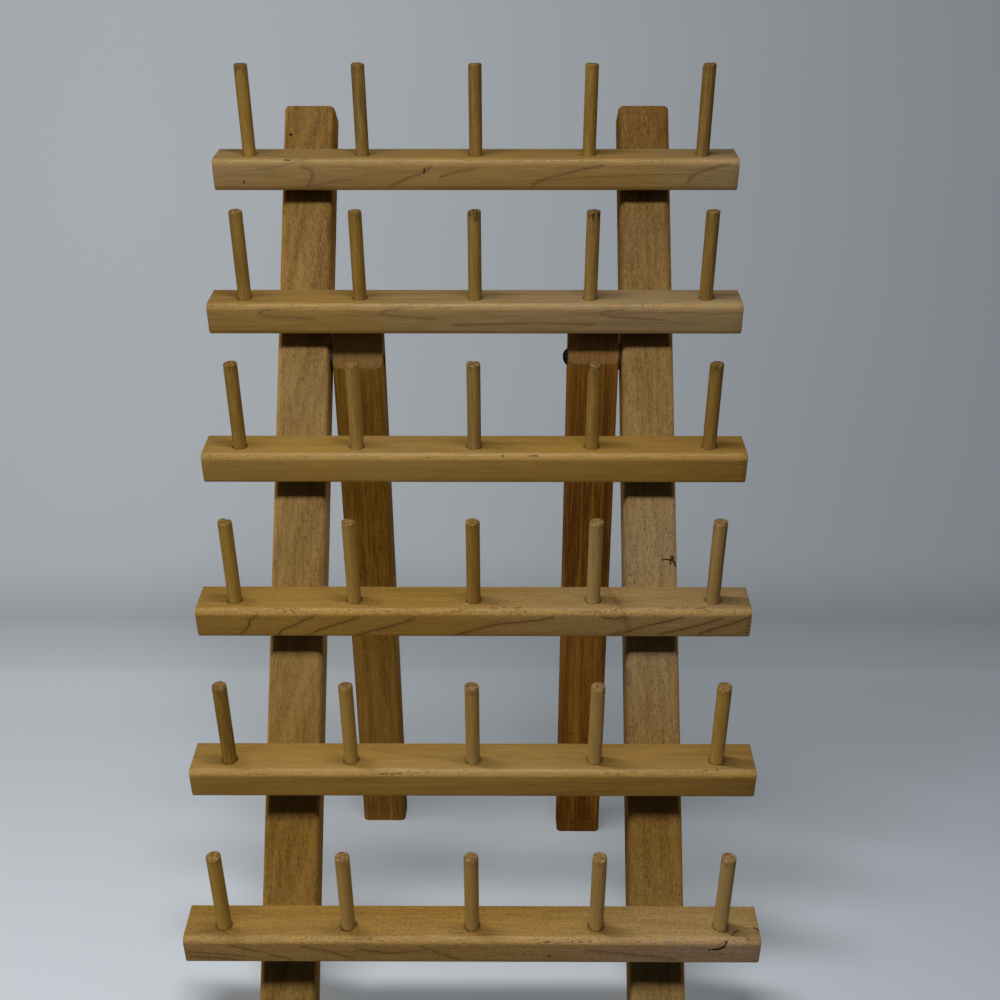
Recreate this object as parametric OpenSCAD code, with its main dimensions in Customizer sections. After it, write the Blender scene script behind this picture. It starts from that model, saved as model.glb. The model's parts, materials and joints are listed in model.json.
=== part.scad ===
// Thread spool rack: six pegged bars on two leaning posts, held up by two folding rear legs.
// X runs along the bars, Y from front to back, Z up. The origin is on the floor at the middle of the
// footprint. All lengths are in millimetres and all angles in degrees.

/* [Posts] */
// Width of each front post, seen from the front
post_width = 25.4; // [20:0.1:32]
// Thickness of each front post, front to back
post_thickness = 19; // [16:0.1:26]
// Distance between the middles of the two posts
post_spacing = 169.7; // [150:0.1:190]
// Post above the top bar, measured along the post
top_margin = 23.8; // [10:0.1:60]
// Post below the bottom bar, measured along the post
bottom_margin = 36; // [12:0.1:60]
// How far the posts lean back from upright
lean = 22.5; // [12:0.5:25]
// Radius on the long edges of the posts and legs
stock_edge_radius = 2.8; // [0.5:0.1:5]
// Radius on the top corners of the posts
post_corner_radius = 3; // [0.5:0.1:6]

/* [Bars] */
// Length of each bar
bar_length = 260; // [230:1:360]
// Depth of the bar's top face, front to back
bar_depth = 20; // [19:0.1:30]
// Height of the bar's front face
bar_height = 16; // [12:0.1:18]
// Radius on the two front edges of each bar
bar_edge_radius = 3.2; // [0.5:0.1:4]
// Distance from one bar to the next, measured along the posts
row_pitch = 73.7; // [60:0.1:110]

/* [Pegs] */
// Diameter of the pegs
peg_diameter = 6.5; // [5:0.1:9]
// Length of the peg that stands out of the bar
peg_length = 43.7; // [25:0.1:60]
// Distance from the end of the bar to the middle of the outer peg
peg_end_margin = 17.4; // [10:0.1:30]
// Distance from the front face of the bar to the middle of the peg
peg_setback = 9; // [6:0.1:10]
// How far the pegs tilt forward from upright
peg_tilt = 16.5; // [10:0.5:22]
// Slope cut around the free end of the peg
peg_tip_chamfer = 0.6; // [0.1:0.1:1.5]
// Diameter of the glued end of the peg
tenon_diameter = 6; // [4:0.1:8]
// Length of the glued end of the peg
tenon_length = 7; // [4:0.1:8]
// Room around the glued end
glue_gap = 0.05; // [0.02:0.01:0.2]
// Room under the glued end
hole_end_gap = 0.4; // [0.2:0.1:1]

/* [Rear legs] */
// Width of each leg, seen from the front
leg_width = 25; // [20:0.1:32]
// Thickness of each leg, front to back
leg_thickness = 18.6; // [14:0.1:18.8]
// Angle between the left leg and its post when open
left_open_angle = 36.7; // [30:0.1:42]
// Angle between the right leg and its post when open
right_open_angle = 34.3; // [30:0.1:42]
// Angle of the slanted top end to the length of the leg
leg_bevel = 31; // [26:0.5:40]
// Distance from the underside of the second bar down to the pivot, along the post
pivot_drop = 11; // [8:0.1:18]
// Room between the open leg and the bar that stops it
stop_gap = 0.2; // [0.1:0.05:0.5]

/* [Screws and washers] */
// Diameter of the pivot screw's shank
pivot_diameter = 5; // [3.5:0.1:6]
// Diameter of the pivot screw's round head
pivot_head_diameter = 8.6; // [7:0.1:12]
// Height of the pivot screw's round head
pivot_head_height = 2.3; // [1.5:0.1:3.5]
// Depth of the recess that sinks the left pivot screw's head into its leg
left_head_sink = 3; // [0:0.1:6]
// Radial room around a sunk pivot head
sink_clearance = 0.4; // [0.2:0.1:1]
// Depth of the pivot screw in the post
pivot_depth = 20; // [12:0.1:22]
// Radial room around the pivot screw
pivot_clearance = 0.05; // [0.02:0.01:0.1]
// Room on each side of the washer and under the pivot head
pivot_play = 0.15; // [0.1:0.05:0.3]
// Diameter of the washer between leg and post
washer_diameter = 13; // [10:0.1:16]
// Thickness of the washer between leg and post
washer_thickness = 1; // [0.6:0.1:2]
// Diameter of the bar screw's shank
screw_diameter = 4; // [3:0.1:5]
// Diameter of the bar screw's flat head
screw_head_diameter = 7.6; // [6.5:0.1:9]
// Distance from the bar's lower back edge up to the bar screw, along the post
screw_rise = 6.6; // [4:0.1:8]
// Wood left around the point of the bar screw
screw_cover = 3; // [1:0.1:4]
// Radial room around the bar screw
screw_clearance = 0.1; // [0.05:0.01:0.3]
// Width of the driver slots in the screw heads
slot_width = 1.1; // [0.8:0.1:1.5]
// Depth of the driver slots in the screw heads
slot_depth = 1.2; // [0.6:0.1:1.5]

/* [Hidden] */
row_count = 6;
column_count = 5;
// The bar whose back stops the open legs
stop_row = 2;
rows = [1:row_count];
columns = [1:column_count];
sides = [-1, 1];

round_sides = 64;
// Overshoot of a cut past the face that it opens
cut_past = 1;

// The bars meet the posts on a slanted back
bar_slant = lean + peg_tilt;
bar_back_height = bar_height / cos(bar_slant);
peg_inset = bar_depth - peg_setback;
peg_pitch = (bar_length - 2 * peg_end_margin) / (column_count - 1);
hole_depth = tenon_length + hole_end_gap;

post_length = bottom_margin + bar_back_height + (row_count - 1) * row_pitch + top_margin;
post_foot_rise = post_thickness * tan(lean);

// The pivot runs through the middle of the post's thickness
pivot_y = post_thickness / 2;
pivot_z = bar_top(stop_row) - bar_back_height - pivot_drop;
pivot_height = pivot_z * cos(lean) - pivot_y * sin(lean);
leg_gap = washer_thickness + 2 * pivot_play;
leg_offset = post_spacing / 2 - post_width / 2 - leg_gap - leg_width / 2;
screw_head_height = (screw_head_diameter - screw_diameter) / 2;
screw_point = screw_diameter / 2;
// A bar screw goes as deep as the bar's top and front faces leave room for
screw_drop = bar_back_height - screw_rise;
screw_room_above = (screw_drop * cos(bar_slant) - screw_diameter / 2 - screw_cover) / sin(bar_slant);
screw_room_ahead = (bar_depth - screw_cover - screw_drop * sin(bar_slant)) / cos(bar_slant);
screw_bite = min(screw_room_above, screw_room_ahead);

// Furthest front and furthest back points on and above the floor, from the front of the post's foot
front_reach = max(peg_reach(), bar_reach());
back_reach = max(leg_reach(left_open_angle), leg_reach(right_open_angle), post_reach());
foot_y = (front_reach - back_reach) / 2;

// Height of a bar's top back edge along the post
function bar_top(row) = bottom_margin + bar_back_height + (row_count - row) * row_pitch;

// How deep a pivot screw's head lies in its leg
function head_sink(side) = side < 0 ? left_head_sink : 0;

// How far the lowest pegs and the lowest bar stand in front of the post's foot
function peg_reach() =
    let (base = bar_top(row_count) * sin(lean))
    peg_inset * cos(peg_tilt) + (peg_length - peg_tip_chamfer) * sin(peg_tilt)
    + peg_diameter / 2 * cos(peg_tilt) - base;
function bar_reach() = bar_depth * cos(peg_tilt) - bar_top(row_count) * sin(lean);

// How far the posts and the open legs stand behind the post's foot
function post_reach() = post_length * sin(lean) + post_thickness * cos(lean);
function leg_reach(angle) =
    let (splay = angle - lean)
    pivot_z * sin(lean) + pivot_y * cos(lean)
    + pivot_height * tan(splay) + leg_thickness / 2 / cos(splay);

// A rectangle about the origin with all four corners rounded
module rounded_rectangle(width, depth, radius) {
    square([width - 2 * radius, depth], center = true);
    square([width, depth - 2 * radius], center = true);
    for (x = sides, y = sides)
        translate([x * (width / 2 - radius), y * (depth / 2 - radius)])
            circle(r = radius, $fn = round_sides);
}

// The front of a post with its two top corners rounded, standing on the origin
module post_outline() {
    corner = post_width / 2 - post_corner_radius;
    shoulder = post_length - post_corner_radius;
    translate([-post_width / 2, 0])
        square([post_width, shoulder]);
    translate([-corner, 0])
        square([2 * corner, post_length]);
    for (side = sides)
        translate([side * corner, shoulder])
            circle(r = post_corner_radius, $fn = round_sides);
}

// The end of a bar: its top back edge on the origin, its front edges rounded, its back slanted
module bar_outline() {
    front = -bar_depth + bar_edge_radius;
    low = -bar_height + bar_edge_radius;
    polygon([
        [0, 0],
        [front, 0],
        [-bar_depth, -bar_edge_radius],
        [-bar_depth, low],
        [front, -bar_height],
        [-bar_height * tan(bar_slant), -bar_height]
    ]);
    for (edge = [-bar_edge_radius, low])
        translate([front, edge])
            circle(r = bar_edge_radius, $fn = round_sides);
}

// Gives a side outline, drawn front to back and upward, a width along X
module across(width) {
    translate([-width / 2, 0, 0])
        rotate([90, 0, 90])
            linear_extrude(width)
                children();
}

// Places a child in the frame of the leaning posts: Y into the post and Z up its front face
module on_posts() {
    translate([0, foot_y, 0])
        rotate([-lean, 0, 0])
            children();
}

// Places a child on a bar: the origin on its top back edge, Z along the pegs
module on_bar(row) {
    on_posts()
        translate([0, 0, bar_top(row)])
            rotate([bar_slant, 0, 0])
                children();
}

// Places a child at a bar screw: Z along the screw, from its head towards the bar
module at_bar_screw(row, side) {
    on_posts()
        translate([side * post_spacing / 2, post_thickness, bar_top(row) - screw_drop])
            rotate([90, 0, 0])
                children();
}

// Places a child at a pivot: Z outwards along the pivot screw, from the inner face of the leg
module at_pivot(side) {
    on_posts()
        translate([side * (leg_offset - leg_width / 2), pivot_y, pivot_z])
            rotate([0, side * 90, 0])
                children();
}

// The hole for a bar screw, through the post and into the bar
module bar_screw_hole(row, side) {
    wide = screw_head_diameter + 2 * screw_clearance;
    narrow = screw_diameter + 2 * screw_clearance;
    at_bar_screw(row, side) {
        translate([0, 0, -cut_past])
            cylinder(h = cut_past, d = wide, $fn = round_sides);
        cylinder(h = (wide - narrow) / 2, d1 = wide, d2 = narrow, $fn = round_sides);
        cylinder(h = post_thickness + screw_bite + hole_end_gap, d = narrow, $fn = round_sides);
    }
}

// Two crossed slots for a driver, cut into a head from Z = 0 upwards
module driver_slots(span) {
    for (turn = [0, 90])
        rotate([0, 0, turn])
            translate([-span / 2, -slot_width / 2, -cut_past])
                cube([span, slot_width, cut_past + slot_depth]);
}

// A front post, cut level at the floor, with its top corners rounded
module post(side) {
    difference() {
        on_posts()
            translate([side * post_spacing / 2, 0, 0])
                intersection() {
                    translate([0, post_thickness / 2, 0])
                        linear_extrude(post_length)
                            rounded_rectangle(post_width, post_thickness, stock_edge_radius);
                    across(post_width)
                        polygon([
                            [0, 0],
                            [post_thickness, post_foot_rise],
                            [post_thickness, post_length],
                            [0, post_length]
                        ]);
                    translate([0, post_thickness, 0])
                        rotate([90, 0, 0])
                            linear_extrude(post_thickness)
                                post_outline();
                }
        for (row = rows)
            bar_screw_hole(row, side);
        at_pivot(side)
            cylinder(
                h = leg_width + leg_gap + pivot_depth + hole_end_gap,
                d = pivot_diameter + 2 * pivot_clearance,
                $fn = round_sides
            );
    }
}

// A cross bar with rounded front edges and a slanted back, drilled for its pegs and screws
module bar(row) {
    color("burlywood")
        difference() {
            on_bar(row)
                across(bar_length)
                    bar_outline();
            for (column = columns)
                on_peg(row, column)
                    translate([0, 0, -hole_depth])
                        cylinder(
                            h = hole_depth + cut_past,
                            d = tenon_diameter + 2 * glue_gap,
                            $fn = round_sides
                        );
            for (side = sides)
                bar_screw_hole(row, side);
        }
}

// Places a child on a peg's place: Z along the peg, from the bar's top face
module on_peg(row, column) {
    on_bar(row)
        translate([(column - (column_count + 1) / 2) * peg_pitch, -peg_inset, 0])
            children();
}

// A dowel peg with an eased tip and a slimmer end that is glued into the bar
module peg(row, column) {
    color("tan")
        on_peg(row, column) {
            translate([0, 0, -tenon_length])
                cylinder(h = tenon_length, d = tenon_diameter, $fn = round_sides);
            cylinder(h = peg_length - peg_tip_chamfer, d = peg_diameter, $fn = round_sides);
            translate([0, 0, peg_length - peg_tip_chamfer])
                cylinder(
                    h = peg_tip_chamfer,
                    d1 = peg_diameter,
                    d2 = peg_diameter - 2 * peg_tip_chamfer,
                    $fn = round_sides
                );
        }
}

// A rear leg, opened from its post, with a slanted top end and a foot cut level at the floor
module rear_leg(side, open_angle) {
    half = leg_thickness / 2;
    splay = open_angle - lean;
    heel = (pivot_y + half * cos(open_angle) - stop_gap) / sin(open_angle);
    toe = heel - leg_thickness / tan(leg_bevel);
    foot_front = -(pivot_height - half * sin(splay)) / cos(splay);
    foot_back = -(pivot_height + half * sin(splay)) / cos(splay);
    difference() {
        on_posts()
            translate([side * leg_offset, pivot_y, pivot_z])
                rotate([open_angle, 0, 0])
                    intersection() {
                        translate([0, 0, foot_back])
                            linear_extrude(heel - foot_back)
                                rounded_rectangle(leg_width, leg_thickness, stock_edge_radius);
                        across(leg_width)
                            polygon([
                                [-half, foot_front],
                                [half, foot_back],
                                [half, heel],
                                [-half, toe]
                            ]);
                    }
        at_pivot(side)
            translate([0, 0, -cut_past]) {
                cylinder(
                    h = leg_width + 2 * cut_past,
                    d = pivot_diameter + 2 * pivot_clearance,
                    $fn = round_sides
                );
                if (head_sink(side) > 0)
                    cylinder(
                        h = head_sink(side) + cut_past,
                        d = pivot_head_diameter + 2 * sink_clearance,
                        $fn = round_sides
                    );
            }
    }
}

module left_upright() {
    color("burlywood")
        post(-1);
}

module right_upright() {
    color("burlywood")
        post(1);
}

module left_rear_leg() {
    color("peru")
        rear_leg(-1, left_open_angle);
}

module right_rear_leg() {
    color("peru")
        rear_leg(1, right_open_angle);
}

// The round-headed screws that the legs turn on, each with a pointed end in its post
module pivot_screws() {
    point = pivot_diameter / 2;
    // Radius of the sphere that the domed head is a cap of
    dome = (pow(pivot_head_diameter / 2, 2) + pow(pivot_head_height, 2)) / (2 * pivot_head_height);
    color("dimgray")
        for (side = sides)
            let (shank = pivot_play + leg_width - head_sink(side) + leg_gap + pivot_depth)
            at_pivot(side)
                translate([0, 0, head_sink(side) - pivot_play]) {
                    cylinder(h = shank - point, d = pivot_diameter, $fn = round_sides);
                    translate([0, 0, shank - point])
                        cylinder(h = point, d1 = pivot_diameter, d2 = point, $fn = round_sides);
                    difference() {
                        intersection() {
                            translate([0, 0, dome - pivot_head_height])
                                sphere(r = dome, $fn = round_sides);
                            translate([0, 0, -pivot_head_height])
                                cylinder(h = pivot_head_height, d = pivot_head_diameter, $fn = round_sides);
                        }
                        translate([0, 0, -pivot_head_height])
                            driver_slots(pivot_head_diameter / 2);
                    }
                }
}

// The washers that keep the legs clear of the posts
module pivot_washers() {
    color("dimgray")
        for (side = sides)
            at_pivot(side)
                translate([0, 0, leg_width + pivot_play])
                    difference() {
                        cylinder(h = washer_thickness, d = washer_diameter, $fn = round_sides);
                        translate([0, 0, -cut_past])
                            cylinder(
                                h = washer_thickness + 2 * cut_past,
                                d = pivot_diameter + 2 * pivot_clearance,
                                $fn = round_sides
                            );
                    }
}

// The flat-headed screws that hold the bars, driven from behind the posts
module bar_screws() {
    length = post_thickness + screw_bite;
    color("silver")
        for (row = rows, side = sides)
            at_bar_screw(row, side)
                difference() {
                    union() {
                        cylinder(
                            h = screw_head_height,
                            d1 = screw_head_diameter,
                            d2 = screw_diameter,
                            $fn = round_sides
                        );
                        cylinder(h = length - screw_point, d = screw_diameter, $fn = round_sides);
                        translate([0, 0, length - screw_point])
                            cylinder(
                                h = screw_point,
                                d1 = screw_diameter,
                                d2 = screw_point,
                                $fn = round_sides
                            );
                    }
                    driver_slots(screw_diameter);
                }
}

left_upright();
right_upright();
left_rear_leg();
right_rear_leg();
pivot_screws();
pivot_washers();
bar_screws();
for (row = rows)
    bar(row);
for (row = rows, column = columns)
    peg(row, column);
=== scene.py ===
"""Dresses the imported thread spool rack.

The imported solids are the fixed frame. Every wooden piece is modelled again in the place of its
solid, with softened arrises, drilled peg seats and small knocks, and takes a finish that follows
its grain. The screws and washers keep their solids. Lengths are in metres and angles in degrees,
where nothing else is said.
"""

from __future__ import annotations

import json
import logging
import math
import random
from contextlib import contextmanager
from dataclasses import dataclass, field, replace
from enum import Enum
from typing import Any, Callable, Iterator, Sequence, Union

import bmesh  # noqa: E402
import bpy  # noqa: E402
import numpy as np  # noqa: E402
from mathutils import Matrix, Vector  # noqa: E402

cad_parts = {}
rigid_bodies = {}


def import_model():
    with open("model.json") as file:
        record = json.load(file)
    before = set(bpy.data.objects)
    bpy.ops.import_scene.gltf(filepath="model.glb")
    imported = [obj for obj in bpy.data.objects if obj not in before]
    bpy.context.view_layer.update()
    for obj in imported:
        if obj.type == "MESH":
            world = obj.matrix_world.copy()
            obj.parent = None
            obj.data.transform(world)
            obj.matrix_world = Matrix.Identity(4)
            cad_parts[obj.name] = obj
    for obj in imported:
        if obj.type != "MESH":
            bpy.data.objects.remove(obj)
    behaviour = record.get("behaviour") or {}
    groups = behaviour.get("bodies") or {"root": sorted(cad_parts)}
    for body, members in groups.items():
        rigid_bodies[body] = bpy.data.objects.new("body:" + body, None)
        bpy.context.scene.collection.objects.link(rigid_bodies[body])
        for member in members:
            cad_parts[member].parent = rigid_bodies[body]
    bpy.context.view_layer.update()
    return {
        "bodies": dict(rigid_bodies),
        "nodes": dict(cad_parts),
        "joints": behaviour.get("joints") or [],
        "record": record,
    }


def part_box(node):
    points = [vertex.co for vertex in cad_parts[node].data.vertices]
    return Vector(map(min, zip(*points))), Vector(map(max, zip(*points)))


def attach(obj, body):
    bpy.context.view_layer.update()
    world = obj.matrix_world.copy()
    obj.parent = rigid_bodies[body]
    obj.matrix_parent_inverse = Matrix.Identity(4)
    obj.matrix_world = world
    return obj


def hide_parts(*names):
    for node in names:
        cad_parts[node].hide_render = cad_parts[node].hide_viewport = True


LOG = logging.getLogger("spool_rack")
ROWS = 6
COLUMNS = 5
SWEEP = "floor_sweep"
POSTS = ("left_upright_wood", "right_upright_wood")
LEGS = ("left_rear_leg_wood", "right_rear_leg_wood")

MM = 0.001
BAR_DEPTH = 20 * MM
PEG_SETBACK = 9 * MM
PEG_TILT = 16.5
POST_LEAN = 22.5
POST_THICKNESS = 19 * MM
EDGE_RADIUS = 2.8 * MM

# Points nearer than this are one point.
NEAR = 0.01 * MM
# How far a cutter, or a blank before its cut, reaches past the finished surface.
SPARE = 1 * MM
# The least part along an axis of a direction that roughly, nearly or exactly follows it.
ROUGHLY, NEARLY, EXACTLY = 0.9, 0.99, 0.999
# About the part of a diagonal push along each of its two axes.
DIAGONAL = 0.7

# What ashen wood multiplies the colour by, and the tint that paints bounce light on a front face.
ASHEN = (0.97, 1.2, 3.3)
BOUNCE_LIGHT_TINT = (1.4, 1.65, 4.8)

Colour = tuple[float, float, float]
Point = tuple[float, float, float]
Line = tuple[Point, ...]
Size = tuple[float, ...]
Operand = Union["Signal", float]
Test = Callable[[Vector, Vector], bool]


def mm(*lengths: float) -> Size:
    """Returns lengths in metres that are given in millimetres."""
    return tuple(length * MM for length in lengths)


def srgb(*parts: int) -> Colour:
    """Returns a linear colour.

    Args:
        *parts: Its red, green and blue as a screen shows them, from 0 to 255.

    Returns:
        The same three in linear light, from 0 to 1.
    """
    shares = (part / 255 for part in parts)
    return tuple(
        share / 12.92 if share <= 0.04045 else ((share + 0.055) / 1.055) ** 2.4 for share in shares
    )


def turned(place: Vector, lean: float) -> Matrix:
    """Returns the frame, as a matrix, that stands at a place and is turned about X."""
    return Matrix.Translation(place) @ Matrix.Rotation(math.radians(lean), 4, "X")


class Domain(Enum):
    """The kind of mesh element that a selection or a layer holds."""

    VERT = "VERT"
    EDGE = "EDGE"
    FACE = "FACE"


class Along(Enum):
    """The axis of a piece's own frame that its grain follows, then the two across it."""

    X = (0, 1, 2)
    Z = (2, 0, 1)


class Mix(Enum):
    """How a second colour is laid over a first one."""

    COVER = "MIX"
    TINT = "MULTIPLY"


class Bench:
    """The modelling tools, used on one mesh at a time."""

    @staticmethod
    def clear() -> None:
        """Leaves edit mode and deselects everything."""
        if bpy.context.mode != "OBJECT":
            bpy.ops.object.mode_set(mode="OBJECT")
        bpy.ops.object.select_all(action="DESELECT")

    @staticmethod
    def take(piece: bpy.types.Object) -> None:
        """Makes one object the only selected and the active one.

        Args:
            piece: The object.
        """
        Bench.clear()
        piece.select_set(True)
        bpy.context.view_layer.objects.active = piece

    @staticmethod
    def block(name: str, low: Vector, high: Vector) -> bpy.types.Object:
        """Adds a block.

        Args:
            name: Its name.
            low: Its lowest corner.
            high: Its highest corner.

        Returns:
            The new object.
        """
        Bench.clear()
        bpy.ops.mesh.primitive_cube_add(size=1, location=(low + high) / 2, scale=high - low)
        return Bench.named(name)

    @staticmethod
    def rod(name: str, radius: float, low: float, high: float, sides: int) -> bpy.types.Object:
        """Adds a rod along the Z axis.

        Args:
            name: Its name.
            radius: Its radius.
            low: The height of its lower end.
            high: The height of its upper end.
            sides: The number of its sides.

        Returns:
            The new object.
        """
        Bench.clear()
        bpy.ops.mesh.primitive_cylinder_add(
            vertices=sides, radius=radius, depth=high - low, location=(0, 0, (low + high) / 2)
        )
        return Bench.named(name)

    @staticmethod
    def named(name: str) -> bpy.types.Object:
        """Names the new primitive and puts its place and size into its mesh.

        Args:
            name: Its name.

        Returns:
            The new object.
        """
        piece = bpy.context.active_object
        piece.name = name
        piece.data.name = name
        bpy.ops.object.transform_apply(location=True, rotation=True, scale=True)
        return piece

    @staticmethod
    def cut(piece: bpy.types.Object, cutter: bpy.types.Object) -> None:
        """Cuts one object's shape out of another.

        Args:
            piece: The object that is cut.
            cutter: The object that cuts it.
        """
        Bench.take(piece)
        cut = piece.modifiers.new("cut", "BOOLEAN")
        cut.operation = "DIFFERENCE"
        cut.solver = "EXACT"
        cut.object = cutter
        bpy.ops.object.modifier_apply(modifier=cut.name)

    @staticmethod
    @contextmanager
    def editing(piece: bpy.types.Object) -> Iterator[None]:
        """Opens a mesh in edit mode with nothing selected, and closes it again.

        Args:
            piece: The object whose mesh is opened.

        Yields:
            A context in which the mesh is open.
        """
        Bench.take(piece)
        bpy.ops.object.mode_set(mode="EDIT")
        bpy.ops.mesh.select_all(action="DESELECT")
        yield
        bpy.ops.object.mode_set(mode="OBJECT")

    @staticmethod
    def pick(piece: bpy.types.Object, domain: Domain, test: Test) -> int:
        """Selects the elements of an open mesh that pass a test.

        Args:
            piece: The object whose mesh is open.
            domain: The kind of element.
            test: Takes an element's middle and its direction, along an edge or out of a face or
                vert.

        Returns:
            The number of elements selected.
        """
        bpy.ops.mesh.select_mode(type=domain.value)
        bpy.ops.mesh.select_all(action="DESELECT")
        mesh = bmesh.from_edit_mesh(piece.data)
        if domain is Domain.VERT:
            items = [(vert, vert.co, vert.normal) for vert in mesh.verts]
        elif domain is Domain.EDGE:
            ends = [(edge, edge.verts[0].co, edge.verts[1].co) for edge in mesh.edges]
            items = [(edge, (a + b) / 2, (b - a).normalized()) for edge, a, b in ends]
        else:
            items = [(face, face.calc_center_median(), face.normal) for face in mesh.faces]
        chosen = [item for item, middle, direction in items if test(middle, direction)]
        for item in chosen:
            item.select_set(True)
        mesh.select_flush_mode()
        bmesh.update_edit_mesh(piece.data)
        return len(chosen)

    @staticmethod
    def ease(piece: bpy.types.Object, test: Test, radius: float, steps: int = 2) -> None:
        """Rounds the edges that pass a test."""
        if Bench.pick(piece, Domain.EDGE, test):
            bpy.ops.mesh.bevel(offset=radius, segments=steps, profile=0.5, affect="EDGES")

    @staticmethod
    def ease_rim(piece: bpy.types.Object, test: Test, radius: float, steps: int = 2) -> None:
        """Rounds the border of the faces that pass a test.

        Args:
            piece: The object whose mesh is open.
            test: Takes a face's middle and the way it faces.
            radius: The radius.
            steps: The number of faces across it.
        """
        if Bench.pick(piece, Domain.FACE, test):
            bpy.ops.mesh.region_to_loop()
            bpy.ops.mesh.bevel(offset=radius, segments=steps, profile=0.5, affect="EDGES")

    @staticmethod
    def score(height: float) -> None:
        """Adds a loop of edges to the open mesh at a height."""
        bpy.ops.mesh.select_all(action="SELECT")
        bpy.ops.mesh.bisect(plane_co=(0, 0, height), plane_no=(0, 0, 1))

    @staticmethod
    def saw(place: Vector, normal: Vector, keep_outer: bool) -> None:
        """Cuts the open mesh with a plane and closes the cut.

        Args:
            place: A point of the plane.
            normal: The way that the plane faces.
            keep_outer: Whether the side that it faces is kept, and not the other one.
        """
        bpy.ops.mesh.select_all(action="SELECT")
        bpy.ops.mesh.bisect(
            plane_co=place, plane_no=normal, use_fill=True, clear_inner=keep_outer,
            clear_outer=not keep_outer,
        )

    @staticmethod
    def knock(piece: bpy.types.Object, place: Vector, push: Vector, reach: float) -> None:
        """Presses a small dent into an open mesh.

        Args:
            piece: The object whose mesh is open.
            place: The dent's middle, moved to the nearest vert.
            push: How far its middle is pushed, and which way.
            reach: The dent's radius.
        """
        verts = bmesh.from_edit_mesh(piece.data).verts
        nearest = min((vert.co for vert in verts), key=lambda co: (co - place).length).copy()
        Bench.pick(piece, Domain.VERT, lambda middle, _: (middle - nearest).length < NEAR)
        bpy.ops.transform.translate(
            value=push, use_proportional_edit=True, proportional_edit_falloff="SMOOTH",
            proportional_size=reach,
        )

    @staticmethod
    def settle(piece: bpy.types.Object, frame: Matrix, crease: float = 30.0) -> None:
        """Smooths a finished mesh and moves it into its place.

        Args:
            piece: The object, whose own place stays the origin.
            frame: The matrix from the mesh's own frame to the rack.
            crease: The angle from which an edge stays sharp.
        """
        with Bench.editing(piece):
            bpy.ops.mesh.select_all(action="SELECT")
            bpy.ops.mesh.normals_make_consistent(inside=False)
        bpy.ops.object.shade_smooth_by_angle(angle=math.radians(crease))
        piece.matrix_world = frame
        bpy.ops.object.transform_apply(location=True, rotation=True, scale=True)


@dataclass(frozen=True)
class Sawing:
    """How a piece lay in its log.

    Attributes:
        pith: Where the log's heart lies across the piece's own frame.
        ring: The width of a year's growth.
        swing: How far the log is turned from the piece about each of the two axes across it.
        slope: How far the figure runs aslant to the piece's edges.
        drift: Stops along the piece, each a share of its length, a tone and an ashen share. A tone
            is darker below zero and paler above.
        seed: Sets pieces of one finish apart.
    """

    pith: tuple[float, float]
    ring: float
    swing: tuple[float, float]
    drift: tuple[tuple[float, float, float], ...]
    slope: float = 0.0
    seed: float = 0.0

    def write(self, piece: bpy.types.Object, frame: Matrix, along: Along) -> None:
        """Writes the grain on a finished mesh, for the finishes to read.

        Args:
            piece: The finished object, with its place in its mesh.
            frame: The matrix from the piece's own frame to the rack.
            along: The axis that the grain follows.
        """
        mesh = piece.data
        own = np.empty(len(mesh.vertices) * 3)
        mesh.vertices.foreach_get("co", own)
        inverse = np.array(frame.inverted())
        own = own.reshape(-1, 3) @ inverse[:3, :3].T + inverse[:3, 3]
        fibre = own[:, list(along.value)]
        about_y, about_z = (math.radians(angle) for angle in self.swing)
        swing = Matrix.Rotation(about_y, 3, "Y") @ Matrix.Rotation(about_z, 3, "Z")
        log = (fibre - np.array([0.0, *self.pith])) @ np.array(swing).T / self.ring
        lie = np.array(Matrix.Rotation(math.radians(self.slope), 3, "Z"))
        along_share = (fibre[:, 0] - fibre[:, 0].min()) / np.ptp(fibre[:, 0])
        places, tones, ashes = np.array(self.drift).T
        facing = np.empty(len(mesh.polygons) * 3)
        mesh.polygons.foreach_get("normal", facing)
        grain = np.array(frame.to_3x3())[:, along.value[0]]
        self.layer(mesh, "fibre", fibre)
        self.layer(mesh, "log", log)
        self.layer(mesh, "end", np.abs(facing.reshape(-1, 3) @ grain), Domain.FACE)
        self.layer(mesh, "figure", fibre @ lie.T)
        self.layer(mesh, "tone", np.interp(along_share, places, tones))
        self.layer(mesh, "ash", np.interp(along_share, places, ashes))
        self.layer(mesh, "seed", np.full(len(own), self.seed))

    @staticmethod
    def layer(
        mesh: bpy.types.Mesh, name: str, values: np.ndarray, domain: Domain = Domain.VERT
    ) -> None:
        """Writes one named layer on a mesh.

        Args:
            mesh: The mesh.
            name: The layer's name.
            values: A number or a vector for each element.
            domain: The kind of element.
        """
        kind, key = ("FLOAT_VECTOR", "vector") if values.ndim > 1 else ("FLOAT", "value")
        on = "POINT" if domain is Domain.VERT else domain.value
        layer = mesh.attributes.new(name, kind, on)
        layer.data.foreach_set(key, values.astype(np.float32).ravel())


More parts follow.
